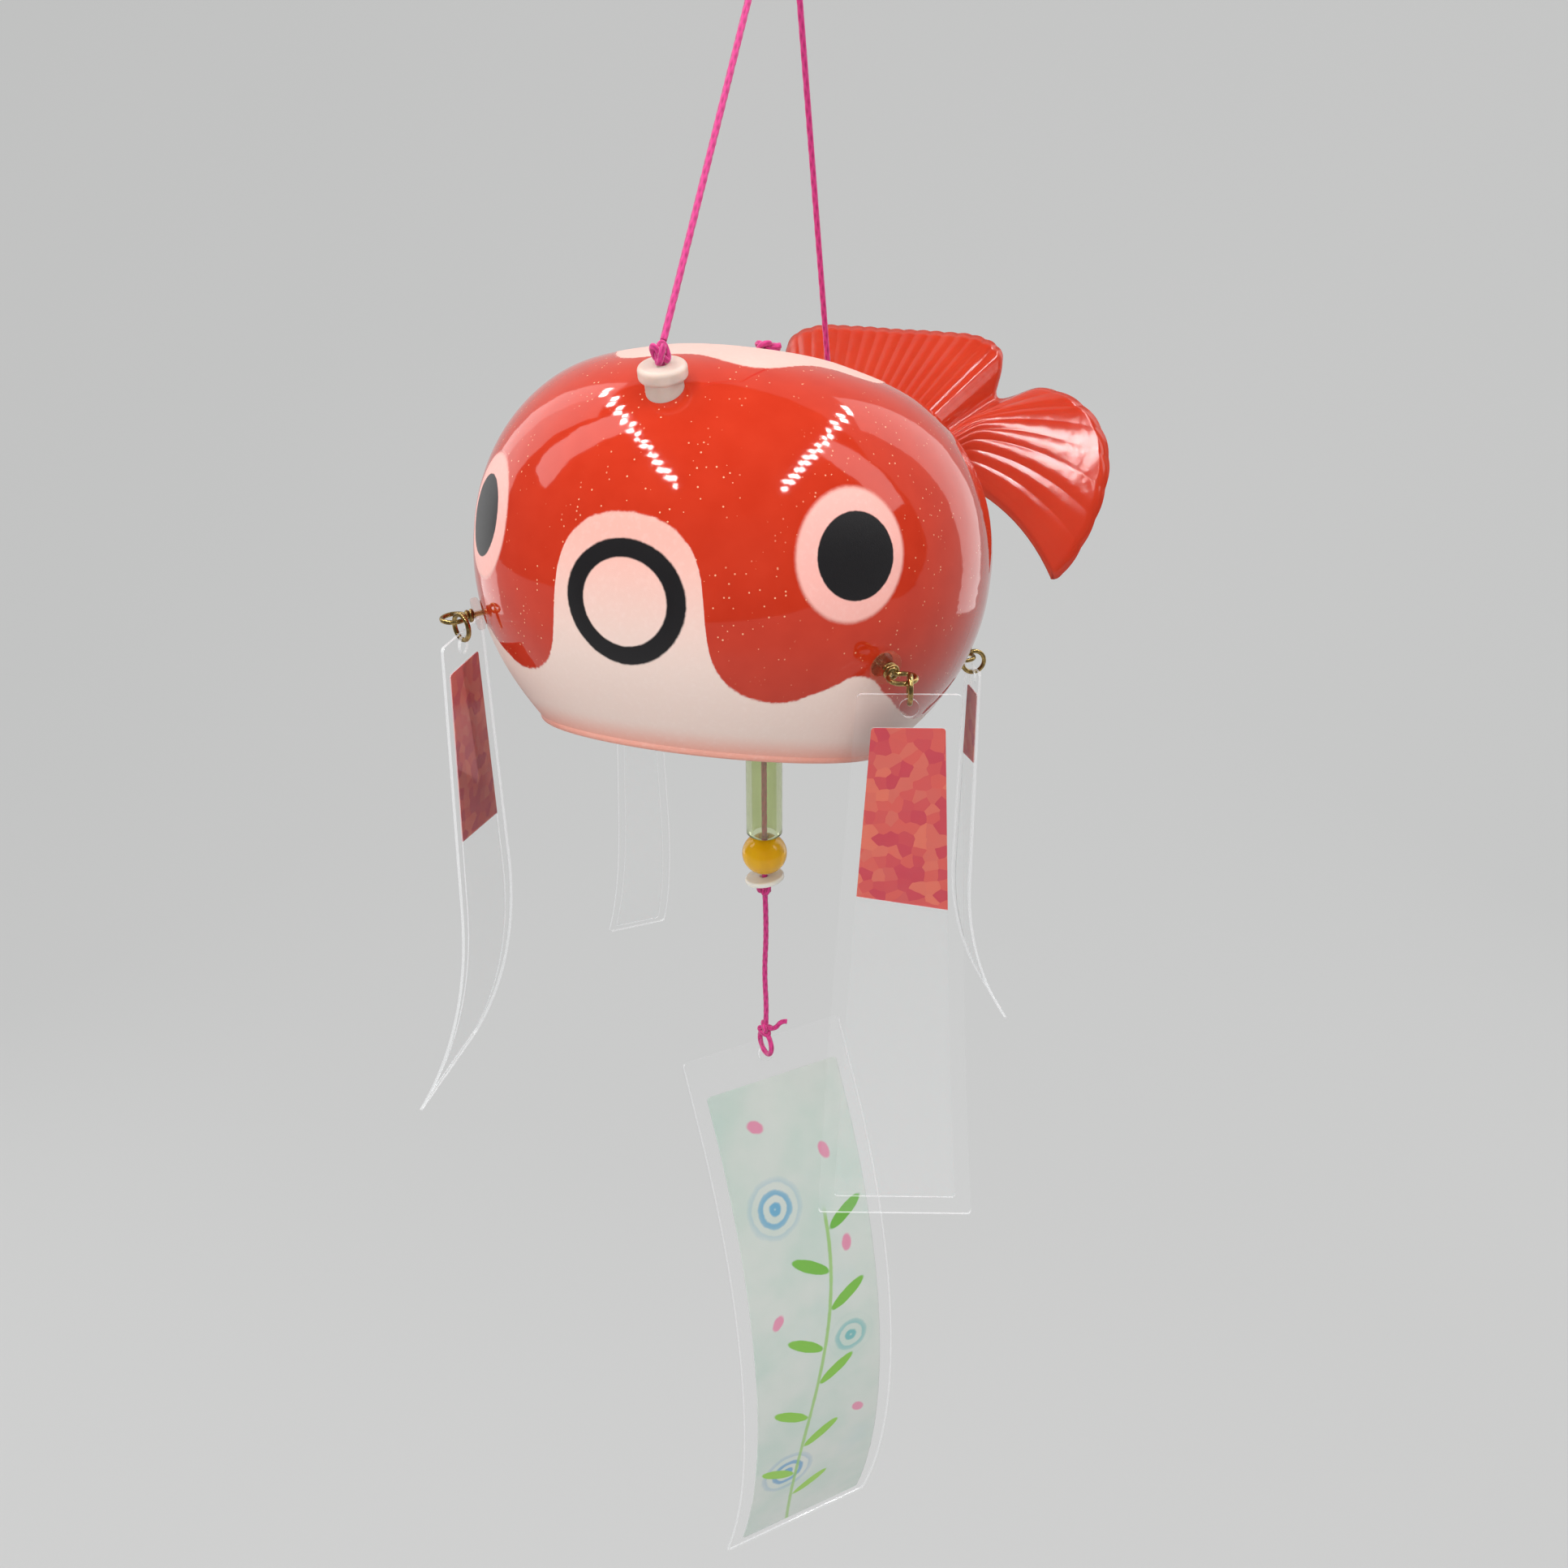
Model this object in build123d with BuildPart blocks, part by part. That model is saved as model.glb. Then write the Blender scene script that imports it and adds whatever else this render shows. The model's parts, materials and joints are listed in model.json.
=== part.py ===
from build123d import *
import os
from math import acos, atan2, copysign, cos, hypot, pi, radians, sin, tan

# A goldfish wind bell: a red glass bell with a ribbed tail, hung by a cord from two soft plugs.
# A tube and a bead on a cord strike the rim, a card below catches the wind, and four clear fins
# hang from brass rings round the flanks. Millimetres and degrees.
# Frame: origin at the middle of whatever rod the hanging cord goes over, +Z up, the fish faces -Y.

os.makedirs("parts", exist_ok=True)

# Glass bell, in its own frame: centre of the front half circle at the widest level
bell_half_width = 43.0
tail_stretch = 1.3  # how much longer the rear half is than the front half
crown_height = 31.7
skirt_drop = 30.8
rim_half_width = 29.6
glass_wall = 2.2
crown_power = 1.95
crown_spread = 3.1
skirt_power = 2.32
bell_tilt = 18.5  # nose up, because of the weight of the tail
bell_back = -25.0  # from the hanging rod to the bell's own centre
bell_below = -95.9
slope_step = 0.01  # for reading a slope off the curves of the bell

# Tail: lobes as (angle from straight up, reach from the root), seen from behind, right half
tail_lobes = [
    (0.0, 54.3),
    (10.0, 55.2),
    (19.5, 56.9),
    (25.5, 55.5),
    (31.0, 47.5),
    (37.0, 54.5),
    (43.5, 58.0),
    (51.0, 59.3),
    (58.5, 58.1),
    (65.5, 55.0),
    (75.5, 49.6),
    (85.5, 44.1),
]
tail_root_y = 46.0
tail_root_z = 4.0
tail_root_reach = 8.5
tail_root_bore = 3.0
tail_length = 26.0
tail_lean = 15.0
tail_edge_wall = 2.8
tail_steps = (0.0, 0.35, 0.6, 0.8, 1.0)
tail_fold = 31.0  # angle of the fold between the top lobe and a side lobe
tail_droop = 1.9  # how fast the side lobes fall away from the fold, from root to edge
tail_gather = 0.25  # what is left of their spread at the root

# Soft plugs in the crown
front_hole_y = -34.5
clapper_hole_y = 6.0
rear_hole_y = 43.5
plug_hole_r = 2.9
plug_flange_r = 3.7
plug_flange_h = 2.3
plug_inner_h = 1.8
plug_bore_r = 0.8
plug_edge = 0.7
plug_corner = 0.1
hang_plug_lift = 1.5  # the cord pulls the hanging plugs up and towards itself
hang_plug_lean = 15.0
clapper_plug_lift = 0.1
clapper_flange_h = 1.4
clapper_plug_edge = 0.6
inner_seat = 0.8  # from the inside of the wall to the inner flange

# Cords and knots
cord_r = 0.55
rod_r = 3.5
knot_r = 1.65
clapper_knot_r = 2.5
clapper_knot_h = 1.9
clapper_knot_edge = 0.85
cord_end_edge = 0.45
joint_gap = 0.3
hem_gap = 0.2

# Clapper and pull cord, measured down the plumb line from under the clapper plug
upper_cord_length = 8.0
tube_top_drop = 50.5
tube_length = 34.5
tube_r = 3.5
tube_bore_r = 2.4
tube_edge = 0.45
bead_r = 4.4
bead_height = 8.4
bead_bore_r = 0.95
washer_r = 3.9
washer_height = 1.0
washer_bore_r = 0.75
washer_edge = 0.4
washer_tip = 9.0
pull_cord_length = 29.5

# Card that catches the wind
loop_r = 2.5
loop_seat = 1.0  # from the middle of the knot down to the top of the loop
card_width = 36.5
card_straight = 11.0
card_curl_r = 128.0
card_curl = 54.0
card_thickness = 0.6
card_margin = 3.0
card_lean = 31.0
card_yaw = 138.5  # way its hollow side faces, from +X towards +Y
card_hole_r = 1.6
card_hole_down = 3.0
card_corner = 0.8
card_print_down = 8.0

# Fins and their hooks
hook_z = -14.6
hook_angles = {"front_right": 57.3, "front_left": -54.5, "rear_right": 134.0, "rear_left": -134.0}
fin_yaws = {"front_right": -71.0, "front_left": 187.0, "rear_right": 32.0, "rear_left": 132.5}
grommet_hole_r = 2.0
grommet_flange_r = 2.7
grommet_flange_h = 1.3
grommet_bore_r = 0.6
grommet_edge = 0.4
grommet_lift = 0.25
eye_r = 1.9
wire_r = 0.4
ring_r = 2.1
ring_play = 0.25
shank_play = 0.05
shank_inside = 4.6
shank_outside = {"front_right": 1.9, "front_left": 1.7, "rear_right": 1.9, "rear_left": 1.9}
ring_turns = {"front_right": 0.0, "front_left": 120.0, "rear_right": 0.0, "rear_left": 0.0}
ring_twists = {"front_right": 0.0, "front_left": 146.0, "rear_right": 0.0, "rear_left": 0.0}
fin_thickness = 0.5
insert_thickness = 0.2
insert_play = 0.05
fin_hole_r = 1.5
fin_hole_down = 2.2
fin_corner = 0.8
insert_corner = 0.6
front_fin = {
    "top": 15.6,
    "bottom": 25.5,
    "straight": 45.0,
    "curl_r": 82.0,
    "curl": 30.5,
    "margin": 2.5,
    "down": 5.4,
}
rear_fin = {
    "top": 8.2,
    "bottom": 13.1,
    "straight": 42.0,
    "curl_r": 62.0,
    "curl": 32.0,
    "margin": 1.5,
    "down": 4.8,
}

# Places that follow from the sizes above
tilt = radians(bell_tilt)
bell_plane = Plane(
    origin=(0, bell_back, bell_below),
    x_dir=(1, 0, 0),
    z_dir=(0, sin(tilt), cos(tilt)),
)


def write(part, name):
    """Label one finished piece and save it under its own name."""
    part.label = name
    export_step(part, f"parts/{name}.step")


def in_bell(x, y, z):
    """A point given in the bell's own frame."""
    return bell_plane.from_local_coords(Vector(x, y, z))


def bell_direction(x, y, z):
    """A direction given in the bell's own frame."""
    return (in_bell(x, y, z) - in_bell(0, 0, 0)).normalized()


def section_of(plane):
    """The plane through another plane's axis, for a profile that is turned about that axis."""
    return Plane(plane.origin, x_dir=plane.x_dir, z_dir=-plane.y_dir)


def turn_about(plane):
    """The axis that stands on a plane."""
    return Axis(plane.origin, plane.z_dir)


def crown_z(y):
    """Height of the crown over the middle line of the fish."""
    reach = bell_half_width if y < 0 else bell_half_width * tail_stretch
    return crown_height * (1 - (abs(y) / reach) ** crown_spread) ** (1 / crown_power)


def crown_plane(y, lean):
    """Plane of a plug in the crown, square to the glass and then leant towards the hanging cord."""
    slope = (crown_z(y + slope_step) - crown_z(y - slope_step)) / (2 * slope_step)
    angle = atan2(-slope, 1.0)
    angle -= radians(lean) if y > 0 else -radians(lean)
    return Plane(
        origin=in_bell(0, y, crown_z(y)),
        x_dir=(1, 0, 0),
        z_dir=bell_direction(0, sin(angle), cos(angle)),
    )


def skirt_r(z):
    """Radius of the front half below the widest level."""
    return bell_half_width - (bell_half_width - rim_half_width) * (-z / skirt_drop) ** skirt_power


def flank_plane(angle):
    """Plane of a fin's grommet, square to the glass below the widest level."""
    turn = radians(angle)
    radius = skirt_r(hook_z)
    stretch = tail_stretch if cos(turn) < 0 else 1.0
    slope = (skirt_r(hook_z + slope_step) - skirt_r(hook_z - slope_step)) / (2 * slope_step)
    outward = bell_direction(sin(turn), -cos(turn) / stretch, -slope)
    return Plane(in_bell(radius * sin(turn), -stretch * radius * cos(turn), hook_z), z_dir=outward)


def crown_points(inset):
    """Points up the crown from the widest level to the top, for the outer or the inner face."""
    points = []
    for step in range(0, 91, 15):
        across = max(cos(radians(step)), 0.0) ** (2 / crown_spread)
        up = sin(radians(step)) ** (2 / crown_power)
        points.append(((bell_half_width - inset) * across, (crown_height - inset) * up))
    points[-1] = (0.0, crown_height - inset)
    return points


def skirt_points(inset):
    """Points up the skirt from the rim to the widest level."""
    heights = [-skirt_drop * share for share in (1.0, 0.75, 0.5, 0.25, 0.0)]
    return [(skirt_r(height) - inset, height) for height in heights]


def half_profile(hollow):
    """Half of the bell's section: the wall alone, or everything inside its outer face."""
    outer_rim = skirt_points(0)[0]
    rim_way = (skirt_power * (bell_half_width - rim_half_width) / skirt_drop, 1.0)
    Spline(skirt_points(0), tangents=[rim_way, (0, 1)])
    Spline(crown_points(0), tangents=[(0, 1), (-1, 0)])
    if hollow:
        inner_rim = skirt_points(glass_wall)[0]
        Spline(skirt_points(glass_wall), tangents=[rim_way, (0, 1)])
        Spline(crown_points(glass_wall), tangents=[(0, 1), (-1, 0)])
        Line((0, crown_height), (0, crown_height - glass_wall))
        rim_low = -skirt_drop - glass_wall / 2
        ThreePointArc(outer_rim, ((outer_rim[0] + inner_rim[0]) / 2, rim_low), inner_rim)
    else:
        Polyline((0, crown_height), (0, -skirt_drop), outer_rim)


def bell_form(hollow):
    """The egg-shaped bell: a round front half and a rear half stretched towards the tail."""
    with BuildPart() as rear_half:
        with BuildSketch(Plane.XZ):
            with BuildLine():
                half_profile(hollow)
            make_face()
        revolve(axis=Axis.Z, revolution_arc=180)
    front_half = rear_half.part.mirror(Plane.XZ)
    long_half = scale(rear_half.part, by=(1, tail_stretch, 1), about=(0, 0, 0), mode=Mode.PRIVATE)
    with BuildPart() as form:
        add(long_half.moved(bell_plane.location))
        add(front_half.moved(bell_plane.location))
    return form.part


front_hang_plane = crown_plane(front_hole_y, hang_plug_lean)
rear_hang_plane = crown_plane(rear_hole_y, hang_plug_lean)
clapper_plane = crown_plane(clapper_hole_y, 0.0)
hook_planes = {name: flank_plane(angle) for name, angle in hook_angles.items()}

# Glass bell
bell_wall = bell_form(hollow=True)
bell_filled = bell_form(hollow=False)
with BuildPart() as glass_body:
    add(bell_wall)
    for plane in (front_hang_plane, rear_hang_plane, clapper_plane):
        with BuildSketch(plane):
            Circle(plug_hole_r)
        extrude(amount=3 * glass_wall, both=True, mode=Mode.SUBTRACT)
    for plane in hook_planes.values():
        with BuildSketch(plane):
            Circle(grommet_hole_r)
        extrude(amount=3 * glass_wall, both=True, mode=Mode.SUBTRACT)
write(glass_body.part, "glass_body")

# Tail, a fan of three lobes that is thick at its root and thin at its edge
lean = radians(tail_lean)
tail_plane = Plane(
    in_bell(0, tail_root_y, tail_root_z),
    x_dir=(-1, 0, 0),
    z_dir=bell_direction(0, cos(lean), -sin(lean)),
)


def lobe_angle(angle, share):
    """Angle of a point of the edge further in: the side lobes draw together towards their fold."""
    beyond = max(abs(angle) - tail_fold, 0.0)
    kept = max(tail_gather, 1 - tail_droop * (1 - share))
    return copysign(abs(angle) - beyond * (1 - kept), angle)


def tail_arc(share, inner):
    """One face of the tail at a share of its length, as points from lobe to lobe."""
    points = []
    for angle, reach in [(-a, r) for a, r in reversed(tail_lobes[1:])] + tail_lobes:
        wall = (1 - share) * (tail_root_reach - tail_root_bore) + share * tail_edge_wall
        radius = tail_root_reach + share * (reach - tail_root_reach) - (wall if inner else 0)
        turn = radians(lobe_angle(angle, share))
        points.append((radius * sin(turn), radius * cos(turn)))
    return points


with BuildPart() as tail_fin:
    for share in tail_steps:
        with BuildSketch(tail_plane.offset(share * tail_length)):
            with BuildLine():
                outer = tail_arc(share, inner=False)
                inner = tail_arc(share, inner=True)
                Spline(outer)
                Line(outer[-1], inner[-1])
                Spline(inner)
                Line(inner[0], outer[0])
            make_face()
    loft()
    add(bell_filled, mode=Mode.SUBTRACT)
write(tail_fin.part, "tail_fin")


def inner_drop(flange, lean):
    """From the outside of the glass down to the inner flange of a plug that leans in its hole."""
    return glass_wall + inner_seat + flange * tan(radians(lean))


def bobbin(plane, flange, hole, bore, lift, outer_h, inner_h, edge, plug_lean=0.0):
    """A soft plug: an outer flange, a neck through the glass and an inner flange, with a bore."""
    inner_top = -inner_drop(flange, plug_lean)
    with BuildPart() as plug:
        with BuildSketch(section_of(plane)):
            with BuildLine():
                FilletPolyline(
                    (bore, lift + outer_h),
                    (flange, lift + outer_h),
                    (flange, lift),
                    (hole, lift),
                    (hole, inner_top),
                    (flange, inner_top),
                    (flange, inner_top - inner_h),
                    (bore, inner_top - inner_h),
                    radius=[edge, edge, plug_corner, plug_corner, edge, edge],
                )
                Line((bore, lift + outer_h), (bore, inner_top - inner_h))
            make_face()
        revolve(axis=turn_about(plane))
    return plug.part


plug_sizes = {"flange": plug_flange_r, "hole": plug_hole_r, "bore": plug_bore_r, "inner_h": plug_inner_h}
hang_sizes = {"lift": hang_plug_lift, "outer_h": plug_flange_h, "edge": plug_edge}
hang_sizes["plug_lean"] = hang_plug_lean
clapper_sizes = {"lift": clapper_plug_lift, "outer_h": clapper_flange_h, "edge": clapper_plug_edge}
write(bobbin(front_hang_plane, **plug_sizes, **hang_sizes), "front_plug")
write(bobbin(rear_hang_plane, **plug_sizes, **hang_sizes), "rear_plug")
write(bobbin(clapper_plane, **plug_sizes, **clapper_sizes), "clapper_plug")

# Knots of the hanging cord: a ball on each hanging plug and one under it, joined through the bore
outer_seat = hang_plug_lift + plug_flange_h
hang_low = -inner_drop(plug_flange_r, hang_plug_lean) - plug_inner_h
clapper_low = -inner_drop(plug_flange_r, 0.0) - plug_inner_h
hang_knots = {}
for name, plane in (("front", front_hang_plane), ("rear", rear_hang_plane)):
    hang_knots[name] = plane.from_local_coords(Vector(0, 0, outer_seat + knot_r))
    with BuildPart() as outer_knot:
        with Locations(hang_knots[name]):
            Sphere(knot_r)
        with BuildSketch(plane.offset(hang_low / 2)):
            Circle(cord_r)
        extrude(amount=outer_seat - hang_low / 2 + knot_r / 2)
    write(outer_knot.part, f"{name}_knot")
    with BuildPart() as inner_knot:
        with Locations(plane.from_local_coords(Vector(0, 0, hang_low - knot_r))):
            Sphere(knot_r)
        with BuildSketch(plane.offset(hang_low - knot_r)):
            Circle(cord_r)
        extrude(amount=knot_r - hang_low / 2)
    write(inner_knot.part, f"{name}_inner_knot")

# Hanging cord: two taut legs and the bight over the rod, tangent to both legs
bight_r = rod_r + cord_r


def leg_tangent(knot, side):
    """Where a leg leaves the bight, on the front (-1) or the rear (+1) side."""
    reach = hypot(knot.Y, knot.Z)
    angle = atan2(knot.Z, knot.Y) + side * acos(bight_r / reach)
    return Vector(0, bight_r * cos(angle), bight_r * sin(angle))


def leg_start(knot, tangent):
    """The low end of a leg, just clear of its knot."""
    return knot + (tangent - knot).normalized() * (knot_r + joint_gap)


front_tangent = leg_tangent(hang_knots["front"], -1)
rear_tangent = leg_tangent(hang_knots["rear"], 1)
front_leg = leg_start(hang_knots["front"], front_tangent)
rear_leg = leg_start(hang_knots["rear"], rear_tangent)
bight_top = (front_tangent + rear_tangent).normalized() * bight_r
with BuildPart() as hang_cord:
    with BuildLine() as hang_route:
        Line(front_leg, front_tangent)
        ThreePointArc(front_tangent, bight_top, rear_tangent)
        Line(rear_tangent, rear_leg)
    with BuildSketch(Plane(front_leg, z_dir=front_tangent - front_leg)):
        Circle(cord_r)
    sweep(path=hang_route.wires()[0])
write(hang_cord.part, "hang_cord")

# Clapper: flat knot, cord in two runs, tube, bead, washer and knot, all on one plumb line
knot_seat = clapper_plug_lift + clapper_flange_h
with BuildPart() as clapper_top_knot:
    with BuildSketch(clapper_plane.offset(knot_seat)):
        Circle(clapper_knot_r)
    extrude(amount=clapper_knot_h)
    fillet(clapper_top_knot.edges().filter_by(GeomType.CIRCLE), clapper_knot_edge)
    with BuildSketch(clapper_plane.offset(knot_seat)):
        Circle(cord_r)
    extrude(amount=clapper_low - knot_seat)
write(clapper_top_knot.part, "clapper_top_knot")

plumb = clapper_plane.from_local_coords(Vector(0, 0, clapper_low - joint_gap / 2))


def plumb_plane(drop):
    """Level plane on the clapper's plumb line."""
    return Plane((plumb.X, plumb.Y, plumb.Z - drop))


def cord_run(top, bottom):
    """A straight run of cord with rounded ends."""
    with BuildPart() as run:
        with BuildSketch(plumb_plane(top)):
            Circle(cord_r)
        extrude(amount=top - bottom)
        fillet(run.edges().filter_by(GeomType.CIRCLE), cord_end_edge)
    return run.part


def ring_round(plane, outer, bore, height, edge):
    """A round piece with a bore, standing on its plane, with rounded edges."""
    with BuildPart() as piece:
        with BuildSketch(section_of(plane)):
            with Locations(((outer + bore) / 2, height / 2)):
                RectangleRounded(outer - bore, height, edge)
        revolve(axis=turn_about(plane))
    return piece.part


tube_bottom = tube_top_drop + tube_length
bead_top = tube_bottom + hem_gap
bead_bottom = bead_top + bead_height
washer_tilt_room = washer_r * tan(radians(washer_tip))
washer_middle = bead_bottom + hem_gap + washer_tilt_room + washer_height / 2
stop_knot_drop = washer_middle + washer_height / 2 + knot_r + washer_tilt_room * knot_r / washer_r
pull_top = stop_knot_drop + knot_r + joint_gap
pull_bottom = pull_top + pull_cord_length
tanzaku_knot_drop = pull_bottom + joint_gap + knot_r

write(cord_run(joint_gap / 2, upper_cord_length), "clapper_cord_upper")
write(cord_run(upper_cord_length + joint_gap, stop_knot_drop), "clapper_cord")
write(cord_run(pull_top, pull_bottom), "pull_cord")
write(ring_round(plumb_plane(tube_bottom), tube_r, tube_bore_r, tube_length, tube_edge), "clapper_tube")

with BuildPart() as clapper_bead:
    with BuildSketch(section_of(plumb_plane((bead_top + bead_bottom) / 2))):
        Ellipse(bead_r, bead_height / 2)
        with Locations((-bead_r + bead_bore_r, 0)):
            Rectangle(2 * bead_r, 2 * bead_r, mode=Mode.SUBTRACT)
    revolve(axis=turn_about(plumb_plane(bead_top)))
write(clapper_bead.part, "clapper_bead")

washer_plane = plumb_plane(washer_middle).rotated((0, -washer_tip, 0)).offset(-washer_height / 2)
write(ring_round(washer_plane, washer_r, washer_bore_r, washer_height, washer_edge), "stop_washer")

with BuildPart() as stop_knot:
    with Locations(plumb_plane(stop_knot_drop).origin):
        Sphere(knot_r)
    with BuildSketch(plumb_plane(stop_knot_drop - 2 * knot_r)):
        Circle(cord_r)
    extrude(amount=-2 * knot_r, mode=Mode.SUBTRACT)
write(stop_knot.part, "stop_knot")


def level(angle):
    """Level direction at an angle from +X towards +Y."""
    return Vector(cos(radians(angle)), sin(radians(angle)), 0)


def band(side_plane, top, straight, curl_r, curl, low, high):
    """Section of a curled sheet between two depths: straight at first, then curled to its front."""
    with BuildSketch(side_plane) as section:
        with BuildLine():
            back = CenterArc((curl_r, -straight), curl_r - low, 180, curl)
            front = CenterArc((curl_r, -straight), curl_r - high, 180, curl)
            Polyline((low, -straight), (low, top), (high, top), (high, -straight))
            Line(back @ 1, front @ 1)
        make_face()
    return section.sketch


def outline(plane, top, bottom, top_width, bottom_width, corner):
    """Face of a sheet seen from its front, with rounded corners."""
    with BuildSketch(plane) as face:
        with BuildLine():
            Polyline(
                (-top_width / 2, top),
                (top_width / 2, top),
                (bottom_width / 2, bottom),
                (-bottom_width / 2, bottom),
                close=True,
            )
        make_face()
        fillet(face.vertices(), corner)
    return face.sketch


def sheet(plane, size, low, high, top, inset, corner, bottom_rise=0.0):
    """A curled sheet or its insert, between two depths, cut to its outline."""
    side = Plane(plane.origin, x_dir=plane.z_dir, z_dir=-plane.x_dir)
    full_bottom = -size["straight"] - size["curl_r"] * sin(radians(size["curl"]))
    taper = (size["bottom"] - size["top"]) / (size["hole_down"] - full_bottom)
    top_width = size["top"] + taper * (size["hole_down"] - top) - 2 * inset
    bottom_width = size["bottom"] - taper * bottom_rise - 2 * inset
    profile = band(side, size["hole_down"], size["straight"], size["curl_r"], size["curl"], low, high)
    face = outline(plane, top, full_bottom + bottom_rise, top_width, bottom_width, corner)
    with BuildPart() as piece:
        extrude(profile, amount=size["bottom"], both=True)
        extrude(face, amount=size["straight"] + size["curl_r"], both=True, mode=Mode.INTERSECT)
    return piece.part


def laminate(names, plane, size, thick, corner, hole_r, inner_corner, on_front=True):
    """A clear film with a printed insert let into one face, hung by a punched hole."""
    film_name, insert_name = names
    front = thick / 2
    low = front - insert_thickness if on_front else -front
    high = low + insert_thickness
    pocket_top = size["hole_down"] - size["down"]
    margin = size["margin"]
    whole = sheet(plane, size, -front, front, size["hole_down"], 0.0, corner)
    pocket = sheet(plane, size, low, high, pocket_top, margin, inner_corner, margin)
    with BuildPart() as film:
        add(whole)
        add(pocket, mode=Mode.SUBTRACT)
        with BuildSketch(plane):
            Circle(hole_r)
        extrude(amount=3 * thick, both=True, mode=Mode.SUBTRACT)
    write(film.part, film_name)
    inner = margin + insert_play
    insert_top = pocket_top - insert_play
    insert = sheet(plane, size, low, high, insert_top, inner, inner_corner - insert_play, inner)
    write(insert, insert_name)


def torus_at(center, normal, radius, wire):
    """A closed ring of wire about a point."""
    with BuildPart(Plane(center, z_dir=normal)) as ring:
        Torus(radius, wire)
    return ring.part


# Knot and loop of the pull cord, and the card on the loop
knot_point = plumb_plane(tanzaku_knot_drop).origin
loop_point = knot_point - Vector(0, 0, loop_seat + loop_r)
card_front = level(card_yaw)
card_across = Vector(0, 0, 1).cross(card_front)
with BuildPart() as tanzaku_knot:
    with Locations(knot_point):
        Sphere(knot_r)
    add(torus_at(loop_point, card_across, loop_r, cord_r))
write(tanzaku_knot.part, "tanzaku_knot")

lean = radians(card_lean)
card_slack = card_hole_r * cos(lean) - cord_r - card_thickness * sin(lean) - joint_gap
card_hole = loop_point - Vector(0, 0, loop_r + card_slack)
card_normal = card_front * cos(lean) - Vector(0, 0, sin(lean))
card_plane = Plane(card_hole, x_dir=card_across, z_dir=card_normal)
card = {
    "top": card_width,
    "bottom": card_width,
    "straight": card_straight,
    "curl_r": card_curl_r,
    "curl": card_curl,
    "margin": card_margin,
    "down": card_print_down,
    "hole_down": card_hole_down,
}
laminate(
    ("tanzaku_film", "tanzaku_print"),
    card_plane,
    card,
    card_thickness,
    card_corner,
    card_hole_r,
    card_corner,
    on_front=False,
)

# Fins: grommet, brass eye, brass ring, film and insert at each of the four hooks
for name, plane in hook_planes.items():
    write(
        bobbin(
            plane,
            flange=grommet_flange_r,
            hole=grommet_hole_r,
            bore=grommet_bore_r,
            lift=grommet_lift,
            outer_h=grommet_flange_h,
            inner_h=grommet_flange_h,
            edge=grommet_edge,
        ),
        f"{name}_grommet",
    )
    outward = Vector(plane.z_dir.X, plane.z_dir.Y, 0).normalized()
    stem_end = plane.from_local_coords(Vector(0, 0, grommet_flange_h + shank_outside[name]))
    eye_center = stem_end + outward * eye_r
    with BuildPart() as screw_eye:
        with BuildSketch(plane.offset(-shank_inside)):
            Circle(grommet_bore_r - shank_play)
        extrude(amount=shank_inside + grommet_flange_h + shank_outside[name])
        with Locations(stem_end):
            Sphere(grommet_bore_r - shank_play)
        add(torus_at(eye_center, Vector(0, 0, 1), eye_r, wire_r))
    write(screw_eye.part, f"{name}_screw_eye")

    fin_front = level(fin_yaws[name])
    fin_across = Vector(0, 0, 1).cross(fin_front)
    eye_tip = eye_center + outward.rotate(Axis.Z, ring_turns[name]) * eye_r
    ring_center = eye_tip - Vector(0, 0, ring_r - 2 * wire_r - ring_play)
    ring_across = Vector(0, 0, 1).cross(level(fin_yaws[name] + ring_twists[name]))
    write(torus_at(ring_center, ring_across, ring_r, wire_r), f"{name}_jump_ring")

    fin_hole = ring_center - Vector(0, 0, ring_r + fin_hole_r - wire_r - ring_play)
    fin_plane = Plane(fin_hole, x_dir=fin_across, z_dir=fin_front)
    size = dict(front_fin if name.startswith("front") else rear_fin, hole_down=fin_hole_down)
    laminate(
        (f"{name}_fin_film", f"{name}_fin_insert"),
        fin_plane,
        size,
        fin_thickness,
        fin_corner,
        fin_hole_r,
        insert_corner,
    )
    print(name, "ring hinge", tuple(eye_tip), "fin hinge", tuple(ring_center - Vector(0, 0, ring_r)))

print("hang cord bight radius", bight_r, "volume", hang_cord.part.volume)
print("hang cord section times length", pi * cord_r**2 * hang_route.wires()[0].length)
print("sway", tuple(hang_knots["front"]), tuple(hang_knots["rear"]))
print("clapper", tuple(plumb), "knot", tuple(plumb_plane(stop_knot_drop).origin))
print("card knot", tuple(knot_point), "card hinge", tuple(loop_point - Vector(0, 0, loop_r)))
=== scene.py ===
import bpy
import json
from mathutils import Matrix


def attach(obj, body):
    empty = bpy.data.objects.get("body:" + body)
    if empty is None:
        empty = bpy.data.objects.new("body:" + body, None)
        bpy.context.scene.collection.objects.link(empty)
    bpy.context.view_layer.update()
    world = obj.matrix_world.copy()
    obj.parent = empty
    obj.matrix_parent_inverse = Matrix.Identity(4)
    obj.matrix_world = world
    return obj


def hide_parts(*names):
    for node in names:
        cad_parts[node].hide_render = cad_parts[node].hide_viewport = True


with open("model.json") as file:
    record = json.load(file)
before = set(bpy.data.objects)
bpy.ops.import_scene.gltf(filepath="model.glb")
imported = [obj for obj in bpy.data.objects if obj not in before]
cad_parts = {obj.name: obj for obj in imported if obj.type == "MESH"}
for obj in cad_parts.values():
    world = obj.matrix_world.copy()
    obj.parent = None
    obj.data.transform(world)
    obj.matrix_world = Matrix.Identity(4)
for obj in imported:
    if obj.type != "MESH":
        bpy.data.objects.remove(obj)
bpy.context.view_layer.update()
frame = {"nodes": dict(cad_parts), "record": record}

import bmesh
import bpy
import json
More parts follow.
